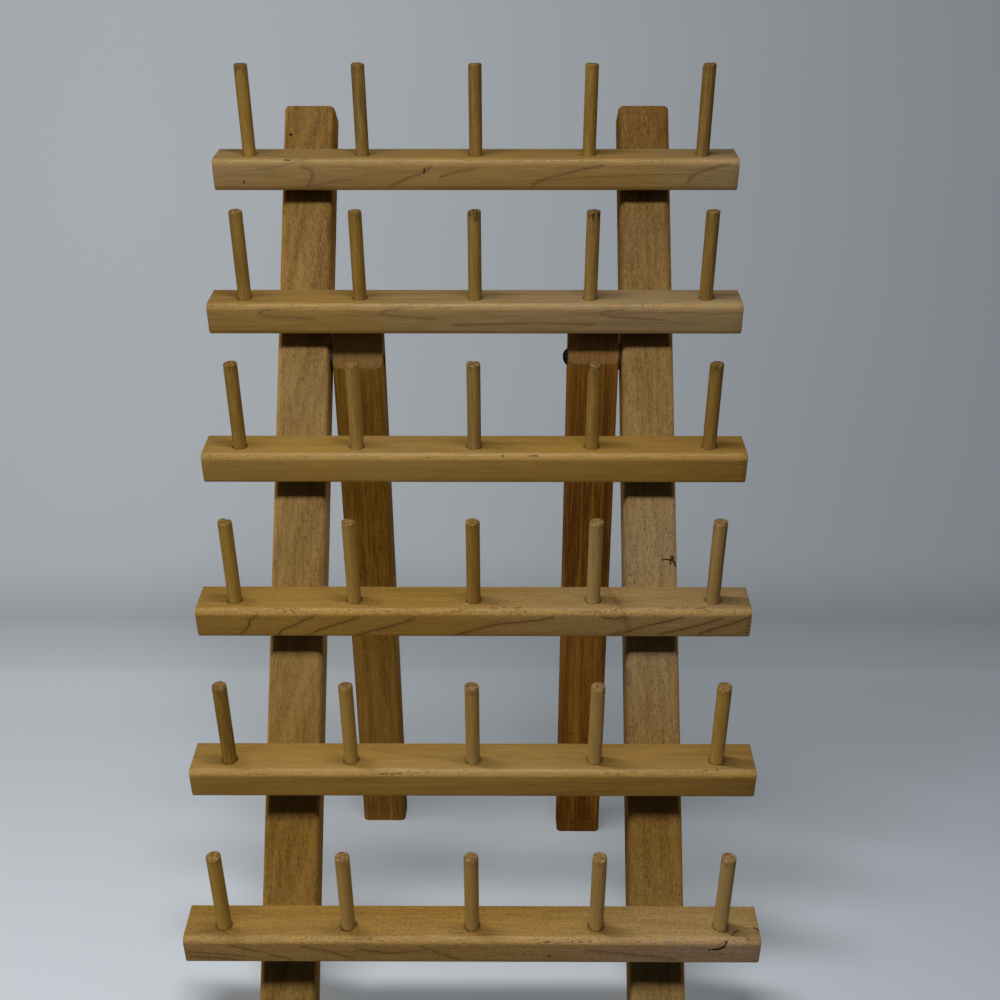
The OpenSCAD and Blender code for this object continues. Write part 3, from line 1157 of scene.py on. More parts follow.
BAR_MARKS: dict[int, tuple[Mark, ...]] = {
    1: (
        growth(
            front((-86, -3.4), (-81, -5.5), (-80.5, -8.5), (-83, -12.5)),
            front((-42, -12.8), (-33, -9), (-26, -6.5), (-22, -3.6)),
            front((-17.6, -8.6), (-9, -6), (0, -4.1)),
            front((28, -12.6), (34, -9.5), (40, -8.1), (52, -5), (63, -2.7)),
            front((105, -11.6), (107, -8), (112, -5.2), (125, -2.2)),
            width=0.55 * MM, depth=0.75, waver=0.9 * MM, broken=0.45,
        ),
        nicks(
            front((-25, -4.5), (-25.5, -6.5)),
            front((-115, -11), (-114.6, -11.6)),
            ((-94, -18.6, -0.5), (-91.5, -18.6, -0.5)),
            top((51.2, -11.4), (52.2, -12.2)),
            width=0.6 * MM,
        ),
    ),
    2: (
        growth(
            front((-95, -2.2), (-103, -3.2), (-105, -4.6), (-99, -6), (-79, -7.2)),
            front((-36, -2.2), (-44, -3.2), (-46, -4.6), (-40, -6), (-20, -7.2)),
            front((72, -2.4), (63, -3.4), (61, -4.8), (68, -6.4), (92, -7.8)),
            front((-10, -10.5), (30, -9.4), (58, -10.2)),
            depth=0.6,
        ),
    ),
    3: (
        nicks(
            ((-22.4, -19.6, -1.7), (-21.4, -19.7, -1.8)),
            ((13.2, -19.1, -0.9), (14.2, -19.1, -0.9)),
            ((26.5, -19, -0.9), (30, -19, -0.9)),
        ),
        nicks(
            *end_nicks(128.2, -3.4, -5.2, -7.1, -9.2, -11.6),
            width=0.45 * MM, depth=0.6, colour=FIGURE,
        ),
    ),
    4: (
        growth(
            front((-110, -14.2), (-105.5, -8.7), (-104.6, -4.8), (-101.2, -3)),
            front((-92, -14), (-89.8, -10.9), (-83.5, -8.1), (-78.7, -5), (-74.8, -3.3)),
            front((-78.7, -14.5), (-73.2, -11.4), (-66.9, -8.7), (-59, -5.8), (-53.5, -4)),
            front((-55, -14), (-47.2, -11.4), (-37, -8.1), (-30.7, -5.8), (-27.5, -4)),
            front(
                (-8.4, -13.8), (-3.7, -12.3), (7.2, -8.5), (18.8, -6.6), (29, -5.4), (37.5, -3.4)
            ),
            front((60, -3.4), (66.3, -4.2), (71, -3.6)),
            front((64.7, -13.3), (69.4, -12.8), (77.2, -9.5), (85, -7.2), (92, -5.4), (97.4, -3.4)),
            front((88, -13.1), (94.3, -11.3), (104.4, -8.5), (111.4, -5.9), (116.9, -3.4)),
            front((106, -13.1), (112.2, -10.1), (120, -7.4), (129.3, -3.2)),
            depth=0.95, waver=0.8 * MM, broken=0.35,
        ),
        # Painted shadow of a peg: a brown streak across the top and down the front.
        Mark(
            (top((63, -2.7), (70, -18)), ((70.5, -19.6, -3), (73, -20, -11))),
            width=2.2 * MM, depth=0.35, colour=PAINTED_PEG_SHADOW, waver=1.2 * MM, cut=0.0,
        ),
        nicks(
            top((8, -17), (11, -17.2)),
            top((14, -17), (15, -17)),
            top((19, -17.3), (22, -17)),
            top((90, -17), (94, -17.3)),
            top((98, -17), (100, -17)),
            top((104, -17.2), (108, -17)),
            *end_nicks(128, -6.2, -8, -10, -12),
            width=0.55 * MM, depth=0.7, colour=BRUISE,
        ),
    ),
    5: (
        nicks(
            ((-42, -19.4, -1.3), (-39, -19.4, -1.3)),
            ((-37, -19.4, -1.4), (-33, -19.4, -1.3)),
            top((106.6, -17.7), (107.4, -17.7)),
            top((111.6, -17.6), (112.4, -17.6)),
            depth=0.7,
        ),
        growth(
            top((38, -9.5), (45, -10.2)),
            top((-47, -4.8), (-24, -8.6), (-1.4, -13.4)),
            width=0.7 * MM, depth=0.3, halo=2 * MM, broken=0.6,
        ),
    ),
    6: (
        nicks(
            front((109, -5.4), (111.4, -4.9), (113.5, -3.4)),
            width=0.8 * MM, depth=1.0, waver=0.25 * MM, broken=0.0,
        ),
        nicks(
            front((106.4, -5.6), (109, -5.4)),
            ((113.5, -20, -3.4), (114.8, -19, -0.9)),
            top((127.8, -12.2), (129.6, -13.6)),
            front((34.6, -9.9), (35.4, -9.9)),
            depth=0.95, waver=0.25 * MM, broken=0.0,
        ),
        nicks(
            top((117, -16.8), (119.4, -14.4)),
            top((118.6, -14.6), (120.6, -13.8)),
            width=0.4 * MM, depth=0.8, waver=0.4 * MM,
        ),
        growth(
            front((-128, -7.8), (-115, -9), (-100, -11)),
            front((-129, -10.6), (-116, -11.6), (-104, -13.6)),
            front((-52, -5.2), (-38, -8.6), (-22, -6.4)),
            front((-109, -3.6), (-96, -7.5), (-82, -13)),
            front((-77, -3.8), (-66, -7), (-53, -12)),
            front((-23, -3.8), (-15, -8), (-5, -13)),
            front((52, -6), (70, -8.4), (92, -11.8)),
            width=0.7 * MM, depth=0.6, waver=0.9 * MM,
        ),
    ),
}
LEFT_POST_MARKS = (nicks(((432.5, -9.4, 0), (432.5, -8.6, 0)), width=0.9 * MM, depth=0.8),)
RIGHT_POST_MARKS = (
    nicks(
        ((216.7, 9.4, 0), (217.6, 10.4, 0.1), (218.2, 10.2, 0.1)),
        ((216.8, 10.0, 0), (215.8, 11.2, 0.35), (214.0, 11.9, 0.75)),
        width=0.75 * MM, depth=0.95, colour=KNOT, waver=0.7 * MM, halo=1.8 * MM,
    ),
    nicks(
        ((216.9, 5.2, 0), (217.2, 7.4, 0), (216.7, 9.4, 0), (214.8, 9.3, 0)),
        depth=0.85, colour=KNOT, waver=0.6 * MM,
    ),
)


@dataclass
class Piece:
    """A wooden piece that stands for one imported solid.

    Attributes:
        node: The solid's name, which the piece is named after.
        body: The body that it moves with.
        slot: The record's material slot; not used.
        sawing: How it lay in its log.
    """

    node: str
    body: str
    slot: str
    sawing: Sawing

    def seat(
        self, piece: bpy.types.Object, frame: Matrix, along: Along, material: bpy.types.Material
    ) -> bpy.types.Object:
        """Finishes a modelled mesh as this piece.

        Args:
            piece: The modelled object, still in its own frame.
            frame: The matrix from that frame to the rack.
            along: The axis that the grain follows.
            material: Its finish.

        Returns:
            The finished object.
        """
        Bench.settle(piece, frame)
        self.sawing.write(piece, frame, along)
        piece.data.materials.clear()
        piece.data.materials.append(material)
        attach(piece, self.body)
        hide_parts(self.node)
        LOG.info("%s: %d faces", piece.name, len(piece.data.polygons))
        return piece


@dataclass
class Bar(Piece):
    """A cross bar with a rounded front, a slanted back and seats for its pegs.

    Attributes:
        row: Its row, from the top.
        finish: Its finish.
        marks: The dark lines in it.
        knocks: Where its upper front edge is dented: the place along the bar, the depth and the
            reach.
        depth: The depth of its top face.
        height: The height of its front face.
        slant: The angle of its back from its front face.
        tilt: How far its top leans forward.
        front_radius: The radius of its front edges.
        back_radius: The radius of its back edges.
        end_radius: The radius round its ends.
        cuts: The number of cuts across it, between which it is dented.
        seat_radius: The radius of a peg's seat.
        seat_depth: The depth of a peg's seat.
        rim_depth: The depth of a seat's broken rim.
        rim_flare: How much wider than the seat the rim's cutter is.
        setback: The distance from its front face to a peg's middle.
    """

    row: int
    finish: WoodFinish
    marks: tuple[Mark, ...]
    knocks: tuple[Size, ...]
    depth: float = BAR_DEPTH
    height: float = 16 * MM
    slant: float = 39.0
    tilt: float = PEG_TILT
    front_radius: float = 3.2 * MM
    back_radius: float = 0.35 * MM
    end_radius: float = 0.45 * MM
    cuts: int = 72
    seat_radius: float = 3.38 * MM
    seat_depth: float = 7 * MM
    rim_depth: float = 0.35 * MM
    rim_flare: float = 1.28
    setback: float = PEG_SETBACK

    def frame(self) -> Matrix:
        """Returns the frame on the bar's upper back edge, its Z along the pegs."""
        low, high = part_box(self.node)
        return turned(Vector(((low.x + high.x) / 2, high.y, high.z)), self.tilt)

    def build(self) -> bpy.types.Object:
        """Models the bar.

        Returns:
            The finished object.
        """
        low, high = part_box(self.node)
        half = (high.x - low.x) / 2
        corner = Vector((-half, -self.depth, -self.height))
        bar = Bench.block(f"{self.node}_wood", corner, Vector((half, 0, 0)))
        run = self.height * math.tan(math.radians(self.slant))

        def at_front(at: Vector, way: Vector) -> bool:
            """Tells whether an edge runs along the front."""
            return abs(way.x) > ROUGHLY and at.y < -self.depth + NEAR

        def at_back(at: Vector, way: Vector) -> bool:
            """Tells whether an edge runs along the top or the bottom of the slanted back."""
            upper, lower = at.z > -NEAR and at.y > -NEAR, abs(at.y + run) < NEAR
            return abs(way.x) > ROUGHLY and (upper or lower)

        with Bench.editing(bar):
            Bench.pick(bar, Domain.VERT, lambda at, _: at.y > -NEAR and at.z < -self.height + NEAR)
            bpy.ops.transform.translate(value=(0, -run, 0))
            Bench.ease(bar, at_front, self.front_radius, steps=7)
            Bench.ease(bar, at_back, self.back_radius)
            Bench.ease_rim(bar, lambda _, out: abs(out.x) > ROUGHLY, self.end_radius)
            Bench.pick(bar, Domain.EDGE, lambda at, way: abs(way.x) > EXACTLY and abs(at.x) < NEAR)
            bpy.ops.mesh.subdivide(number_cuts=self.cuts)
            for along, sink, reach in self.knocks:
                push = Vector((0, sink, -sink)) * DIAGONAL
                Bench.knock(bar, Vector((along, -self.depth, 0)), push, reach)
        self._drill(bar)
        first, second = (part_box(f"peg_r{self.row}_c{column}")[0].x for column in (1, 2))
        seats = Seats(second - first, self.depth - self.setback, self.seat_radius)
        material = self.finish.material(self.node, self.marks, seats)
        return self.seat(bar, self.frame(), Along.X, material)

    def _drill(self, bar: bpy.types.Object) -> None:
        """Cuts a seat with a broken rim for each peg.

        Args:
            bar: The bar, in its own frame.
        """
        cutter = Bench.rod("seat_cutter", self.seat_radius, -self.seat_depth, SPARE, sides=40)
        with Bench.editing(cutter):
            Bench.score(-self.rim_depth)
            Bench.pick(cutter, Domain.VERT, lambda at, _: at.z > 0)
            bpy.ops.transform.resize(value=(self.rim_flare, self.rim_flare, 1))
        for column in range(1, COLUMNS + 1):
            low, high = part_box(f"peg_r{self.row}_c{column}")
            cutter.location = ((low.x + high.x) / 2, self.setback - self.depth, 0)
            Bench.cut(bar, cutter)
        bpy.data.objects.remove(cutter)


@dataclass
class Post(Piece):
    """A front post, cut level at the floor, with rounded long edges and a softened top.

    Attributes:
        marks: The dark lines in it.
        finish: Its finish.
        lean: How far it leans back.
        thickness: Its thickness from front to back.
        edge_radius: The radius of its long edges.
        top_radius: The radius round its top.
        foot_radius: The radius round its foot.
        cuts: The number of cuts across it, between which its tone changes.
        sink_radius: The radius of a bar screw's countersink at the back.
        sink_bore: Its radius at the bottom.
        screw_drop: The distance from a bar's upper back edge down to its screw.
    """

    marks: tuple[Mark, ...]
    finish: WoodFinish = POST_WOOD
    lean: float = POST_LEAN
    thickness: float = POST_THICKNESS
    edge_radius: float = EDGE_RADIUS
    top_radius: float = 2.2 * MM
    foot_radius: float = 0.5 * MM
    cuts: int = 40
    sink_radius: float = 3.9 * MM
    sink_bore: float = 2.1 * MM
    screw_drop: float = 13.99 * MM

    def frame(self) -> Matrix:
        """Returns the frame at the front of the post's foot, its Z up the front face."""
        low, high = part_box(self.node)
        return turned(Vector(((low.x + high.x) / 2, low.y, 0)), -self.lean)

    def build(self) -> bpy.types.Object:
        """Models the post.

        Returns:
            The finished object.
        """
        low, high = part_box(self.node)
        half = (high.x - low.x) / 2
        lean = math.radians(self.lean)
        length = high.z / math.cos(lean)
        corner = Vector((-half, 0, -2 * SPARE))
        post = Bench.block(f"{self.node}_wood", corner, Vector((half, self.thickness, length)))
        floor = Vector((0, -math.sin(lean), math.cos(lean)))

        def on_top(at: Vector, out: Vector) -> bool:
            """Tells whether a face is the post's top."""
            return out.z > NEARLY and at.z > length / 2

        def lengthwise(at: Vector, way: Vector) -> bool:
            """Tells whether an edge is one of the long ones."""
            return abs(way.z) > EXACTLY and at.z > length / 4

        with Bench.editing(post):
            Bench.saw(Vector(), floor, keep_outer=True)
            Bench.ease(post, lambda _, way: abs(way.z) > ROUGHLY, self.edge_radius, steps=7)
            Bench.ease_rim(post, on_top, self.top_radius, steps=5)
            Bench.ease_rim(post, lambda _, out: out.dot(floor) < -NEARLY, self.foot_radius)
            Bench.pick(post, Domain.EDGE, lengthwise)
            bpy.ops.mesh.subdivide(number_cuts=self.cuts)
        self._countersink(post)
        material = self.finish.material(self.node, self.marks)
        return self.seat(post, self.frame(), Along.Z, material)

    def _countersink(self, post: bpy.types.Object) -> None:
        """Sinks the heads of the bar screws into the back.

        Args:
            post: The post, in its own frame.
        """
        wide, deep = self.sink_radius + SPARE, self.sink_radius - self.sink_bore
        back = self.thickness
        cutter = Bench.rod("sink_cutter", wide, back - deep, back + SPARE, sides=32)
        with Bench.editing(cutter):
            Bench.pick(cutter, Domain.VERT, lambda at, _: at.z < back)
            bpy.ops.transform.resize(value=(self.sink_bore / wide, self.sink_bore / wide, 1))
        cutter.rotation_euler = (math.radians(-90), 0, 0)
        for row in range(1, ROWS + 1):
            _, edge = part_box(f"bar_{row}")
            up = (self.frame().inverted() @ Vector((0, edge.y, edge.z))).z
            cutter.location = (0, 0, up - self.screw_drop)
            Bench.cut(post, cutter)
        bpy.data.objects.remove(cutter)


@dataclass
class RearLeg(Piece):
    """A folding leg, with a slanted top end and a foot cut level at the floor.

    Attributes:
        joint: The fold joint as the frame gives it.
        finish: Its finish.
        lean: How far the posts lean back.
        thickness: Its thickness from front to back.
        edge_radius: The radius of its long edges.
        slant_radius: The radius round its slanted end.
        foot_radius: The radius round its foot.
        cuts: The number of cuts across it, between which its tone changes.
        bevel: The angle of the slanted end to its length.
        post_thickness: The thickness of the post beside it.
        stop_gap: The room between the slanted end's heel and what it stops against.
        sink: The depth of the recess for the pivot screw's head.
        sink_radius: The radius of that recess.
    """

    joint: dict[str, Any]
    finish: WoodFinish = LEG_WOOD
    lean: float = POST_LEAN
    thickness: float = 18.6 * MM
    edge_radius: float = EDGE_RADIUS
    slant_radius: float = 0.4 * MM
    foot_radius: float = 0.6 * MM
    cuts: int = 30
    bevel: float = 31.0
    post_thickness: float = POST_THICKNESS
    stop_gap: float = 0.2 * MM
    sink: float = 0.0
    sink_radius: float = 4.7 * MM

    def build(self) -> bpy.types.Object:
        """Models the leg.

        Returns:
            The finished object.
        """
        low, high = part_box(self.node)
        wide, half = (high.x - low.x) / 2, self.thickness / 2
        pivot = Vector(self.joint["pos_m"])
        opened = math.radians(self.joint["range_deg"][1])
        splay = opened - math.radians(self.lean)
        against = self.post_thickness / 2 + half * math.cos(opened) - self.stop_gap
        heel = against / math.sin(opened)
        floor = Vector((0, math.sin(splay), math.cos(splay)))
        reach = pivot.z / math.cos(splay) + self.thickness
        corners = Vector((-wide, -half, -reach)), Vector((wide, half, heel + SPARE))
        leg = Bench.block(f"{self.node}_wood", *corners)
        bevel = math.radians(self.bevel)
        slant = Vector((0, -math.cos(bevel), math.sin(bevel)))

        def lengthwise(at: Vector, way: Vector) -> bool:
            """Tells whether an edge is one of the long ones."""
            return abs(way.z) > EXACTLY and at.z < -reach / 4

        with Bench.editing(leg):
            Bench.saw(Vector((0, half, heel)), slant, keep_outer=False)
            Bench.saw(floor * -pivot.z, floor, keep_outer=True)
            Bench.ease(leg, lambda _, way: abs(way.z) > EXACTLY, self.edge_radius, steps=7)
            Bench.ease_rim(leg, lambda _, out: out.dot(slant) > NEARLY, self.slant_radius)
            Bench.ease_rim(leg, lambda _, out: out.dot(floor) < -NEARLY, self.foot_radius)
            Bench.pick(leg, Domain.EDGE, lengthwise)
            bpy.ops.mesh.subdivide(number_cuts=self.cuts)
        if self.sink:
            ends = wide - self.sink, wide + SPARE
            cutter = Bench.rod("sink_cutter", self.sink_radius, *ends, sides=40)
            cutter.rotation_euler = (0, math.radians(90), 0)
            Bench.cut(leg, cutter)
            bpy.data.objects.remove(cutter)
        frame = turned(pivot, math.degrees(splay))
        return self.seat(leg, frame, Along.Z, self.finish.material(self.node))


@dataclass
class PegSet:
    """The dowel pegs, modelled once and copied to every seat.

    Attributes:
        chipped: The pegs whose tips are chipped, by row and column, and how badly.
        odd: The pegs that stand out by their colour, by row and column: a tone and an ashen share.
        worn: How badly the other pegs' tips are chipped.
        radius: A peg's radius.
        length: How far it stands out of its bar.
        sunk: How far it goes into its bar.
        loops: The heights of the loops between which its side is dented.
        tip_radius: How far its tip is eased.
        tip_askew: How far its end is sawn askew, facing back.
        tip_jitter: How much that differs from peg to peg, either way.
        dent_sink: The least and the greatest depth of a dent in its tip, in millimetres.
        dent_reach: The least and the greatest reach of a dent in its tip, in millimetres.
        tilt: How far it leans forward.
        depth: The depth of a bar's top face.
        setback: The distance from a bar's front face to a peg's middle.
        tone: The tone of the top row's middle peg.
        fade: How much lighter the lowest row's pegs are than the top row's, painted light for the
            lower rows, which get less light.
        column_shade: How much darker each column's pegs are than those to their left, painted shade
            for light that falls from the left.
        tone_spread: How much the tone differs from peg to peg, either way.
        ash_spread: The greatest ashen share of the upper rows' pegs.
        low_ash: How much more ashen the lowest row's pegs are.
    """

    chipped: dict[tuple[int, int], float]
    odd: dict[tuple[int, int], tuple[float, float]]
    worn: float = 0.3
    radius: float = 3.25 * MM
    length: float = 43.7 * MM
    sunk: float = 6 * MM
    loops: Size = mm(4, 12, 20, 28, 34, 37, 39, 40.5, 41.6, 42.5)
    tip_radius: float = 0.7 * MM
    tip_askew: float = 4.5
    tip_jitter: float = 3.5
    dent_sink: tuple[float, float] = (0.25, 0.6)
    dent_reach: tuple[float, float] = (1, 2)
    tilt: float = PEG_TILT
    depth: float = BAR_DEPTH
    setback: float = PEG_SETBACK
    tone: float = -0.3
    fade: float = 0.75
    column_shade: float = 0.08
    tone_spread: float = 0.2
    ash_spread: float = 0.2
    low_ash: float = 0.25

    def model(self) -> bpy.types.Object:
        """Models the peg that the others are copied from.

        Returns:
            The peg, standing on the origin.
        """
        peg = Bench.rod("peg_model", self.radius, -self.sunk, self.length, sides=48)
        with Bench.editing(peg):
            Bench.ease_rim(
                peg, lambda at, out: out.z > NEARLY and at.z > 0, self.tip_radius, steps=3
            )
            for height in self.loops:
                Bench.score(height)
        return peg

    def build(self) -> list[bpy.types.Object]:
        """Copies the peg to every seat.

        Returns:
            The finished pegs.
        """
        model = self.model()
        material = PEG_WOOD.material("dowel")
        made = []
        for row in range(1, ROWS + 1):
            for column in range(1, COLUMNS + 1):
                made.append(self.copy(model, row, column, material))
        bpy.data.objects.remove(model)
        return made

    def copy(
        self, model: bpy.types.Object, row: int, column: int, material: bpy.types.Material
    ) -> bpy.types.Object:
        """Places one copy of the peg.

        Args:
            model: The peg that is copied.
            row: Its row, from the top.
            column: Its column, from the left.
            material: Its finish.

        Returns:
            The finished peg.
        """
        node = f"peg_r{row}_c{column}"
        chance = random.Random(node)
        peg = model.copy()
        peg.data = model.data.copy()
        peg.name = peg.data.name = f"{node}_dowel"
        bpy.context.scene.collection.objects.link(peg)
        low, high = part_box(node)
        _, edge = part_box(f"bar_{row}")
        place = Vector(((low.x + high.x) / 2, edge.y, edge.z))
        frame = turned(place, self.tilt) @ Matrix.Translation((0, self.setback - self.depth, 0))
        self._roughen(peg, chance, 2 if (row, column) in self.chipped else None)
        ashen = chance.uniform(0.0, self.ash_spread) + (self.low_ash if row == ROWS else 0.0)
        usual = chance.uniform(-self.tone_spread, self.tone_spread), ashen
        tone, ash = self.odd.get((row, column), usual)
        # Painted light and shade: the row and column terms lighten the lower rows and darken the
        # right-hand columns.
        below, beside = (row - 1) / (ROWS - 1), (COLUMNS + 1) // 2 - column
        sawing = Sawing(
            pith=(chance.uniform(-0.03, 0.03), chance.uniform(-0.05, -0.02)),
            ring=chance.uniform(1.6, 3.0) * MM,
            swing=(chance.uniform(-2, 2), chance.uniform(-2, 2)),
            drift=((0.0, tone + self.fade * below + self.column_shade * beside + self.tone, ash),),
            seed=chance.uniform(0, 9),
        )
        finished = Piece(node, "frame", "peg_wood", sawing).seat(peg, frame, Along.Z, material)
        chip = np.full(len(peg.data.vertices), self.chipped.get((row, column), self.worn))
        Sawing.layer(peg.data, "chip", chip)
        return finished

    def _roughen(self, peg: bpy.types.Object, chance: random.Random, dents: int | None) -> None:
        """Turns a peg's end askew and dents its rim.

        Args:
            peg: The peg, in its own frame.
            chance: Its own random numbers.
            dents: The number of dents, or none to draw it.
        """
        tip = Vector((0, 0, self.length))
        floor = self.length - self.tip_radius - 10 * NEAR
        with Bench.editing(peg):
            Bench.pick(peg, Domain.VERT, lambda at, _: at.z > floor)
            for axis, askew in (("X", self.tip_askew), ("Y", 0.0)):
                turn = math.radians(askew + chance.uniform(-self.tip_jitter, self.tip_jitter))
                bpy.ops.transform.rotate(value=turn, orient_axis=axis, center_override=tip)
            for _ in range(chance.choice((0, 0, 1)) if dents is None else dents):
                round_at = chance.uniform(0, math.tau)
                rim = Vector((math.cos(round_at), math.sin(round_at), 0)) * self.radius
                sink = chance.uniform(*self.dent_sink) * MM
                push = (rim.normalized() + Vector((0, 0, 1))) * -sink
                Bench.knock(peg, tip + rim, push, chance.uniform(*self.dent_reach) * MM)


@dataclass
class Hardware:
    """The screws and washers, which keep their solids.

    Attributes:
        finishes: Their finishes by the solids' names.
    """

    finishes: dict[str, MetalFinish]

    def dress(self, nodes: dict[str, bpy.types.Object]) -> None:
        """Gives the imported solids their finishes.

        Args:
            nodes: The frame's objects by name.
        """
        for node, finish in self.finishes.items():
            nodes[node].data.materials.clear()
            nodes[node].data.materials.append(finish.material())
            LOG.info("%s: %s", node, finish.name)


@dataclass(frozen=True)
class Lamp:
    """A rectangular lamp.

    Attributes:
        name: The lamp's name.
        place: Its middle.
        aim: The point that it faces.
        size: Its length and width.
        power: Its power in watts.
        colour: Its colour.
        even: Whether its light doesn't fade over the rack's height.
        flagged: The objects that it doesn't reach.
        only: The only objects that it reaches, or all.
        shadows: Whether what it lights throws shadows.
        mirrored: Whether it shows in glossy surfaces.
    """

    name: str
    place: Point
    aim: Point
    size: tuple[float, float]
    power: float
    colour: Colour = (1.0, 1.0, 1.0)
    even: bool = True
    flagged: tuple[str, ...] = ()
    only: tuple[str, ...] = ()
    shadows: bool = True
    mirrored: bool = True

    def hang(self) -> None:
        """Adds the lamp to the scene."""
        lamp = bpy.data.lights.new(self.name, "AREA")
        lamp.shape = "RECTANGLE"
        lamp.size, lamp.size_y = self.size
        lamp.energy = self.power
        lamp.color = self.colour
        lamp.use_shadow = self.shadows
        if self.even:
            graph = Graph(lamp)
            reach = graph.node("ShaderNodeLightFalloff", {"Strength": 1.0})
            glow = graph.node("ShaderNodeEmission", {"Strength": reach.outputs["Constant"]})
            graph.node("ShaderNodeOutputLight", {"Surface": glow.outputs[0]})
        hung = bpy.data.objects.new(self.name, lamp)
        hung.location = self.place
        facing = Vector(self.aim) - hung.location
        hung.rotation_euler = facing.to_track_quat("-Z", "Y").to_euler()
        hung.visible_camera = False
        hung.visible_glossy = self.mirrored
        bpy.context.scene.collection.objects.link(hung)
        if self.flagged or self.only:
            linked = bpy.data.collections.new(f"{self.name}_links")
            for name in self.flagged or self.only:
                linked.objects.link(bpy.data.objects[name])
            for item in linked.collection_objects:
                item.light_linking.link_state = "EXCLUDE" if self.flagged else "INCLUDE"
            hung.light_linking.receiver_collection = linked


# A card that lights only some pieces: it fades with distance and leaves no shadow or reflection.
FILL = {"even": False, "shadows": False, "mirrored": False}
SIDE_COLOUR = (1.0, 0.9, 0.75)
LAMPS = (
    Lamp(
        name="strip", place=(-0.06, -0.268, 0.945), aim=(0, -0.01, 0.208), size=(0.5, 0.025),
        power=8.0, colour=(1.0, 0.98, 0.92), flagged=(SWEEP,),
    ),
    Lamp(
        name="floor_card", place=(-0.12, -0.34, 0.945), aim=(0, -0.01, 0.208), size=(0.6, 0.16),
        power=8.0, only=(SWEEP,), mirrored=False,
    ),
    Lamp(
        name="card", place=(-0.4, -0.95, 0.18), aim=(0, -0.01, 0.19), size=(1.6, 0.7), power=9.5,
        colour=(1.0, 0.95, 0.8), even=False, flagged=(*POSTS, *LEGS, SWEEP),
    ),
    Lamp(
        name="leg_card", place=(-0.1, -0.2, -0.6), aim=(0, 0.06, 0.18), size=(1.0, 0.3), power=5.2,
        colour=(1.0, 0.92, 0.66), only=LEGS, **FILL,
    ),
    Lamp(
        name="side_card", place=(-0.9, 0.16, 0.3), aim=(0, 0.16, 0.25), size=(0.2, 0.5), power=4.5,
        colour=SIDE_COLOUR, only=POSTS[:1], **FILL,
    ),
    Lamp(
        name="far_card", place=(0.9, 0.16, 0.25), aim=(0, 0.16, 0.25), size=(0.2, 0.5), power=1.8,
        colour=SIDE_COLOUR, only=(POSTS[1], LEGS[1]), **FILL,
    ),
    Lamp(
        name="back_card", place=(0, 0.36, 0.12), aim=(0, 0, 0.25), size=(1.2, 0.2), power=10.0,
        colour=(1.0, 0.98, 0.95), flagged=(SWEEP,), mirrored=False,
    ),
)


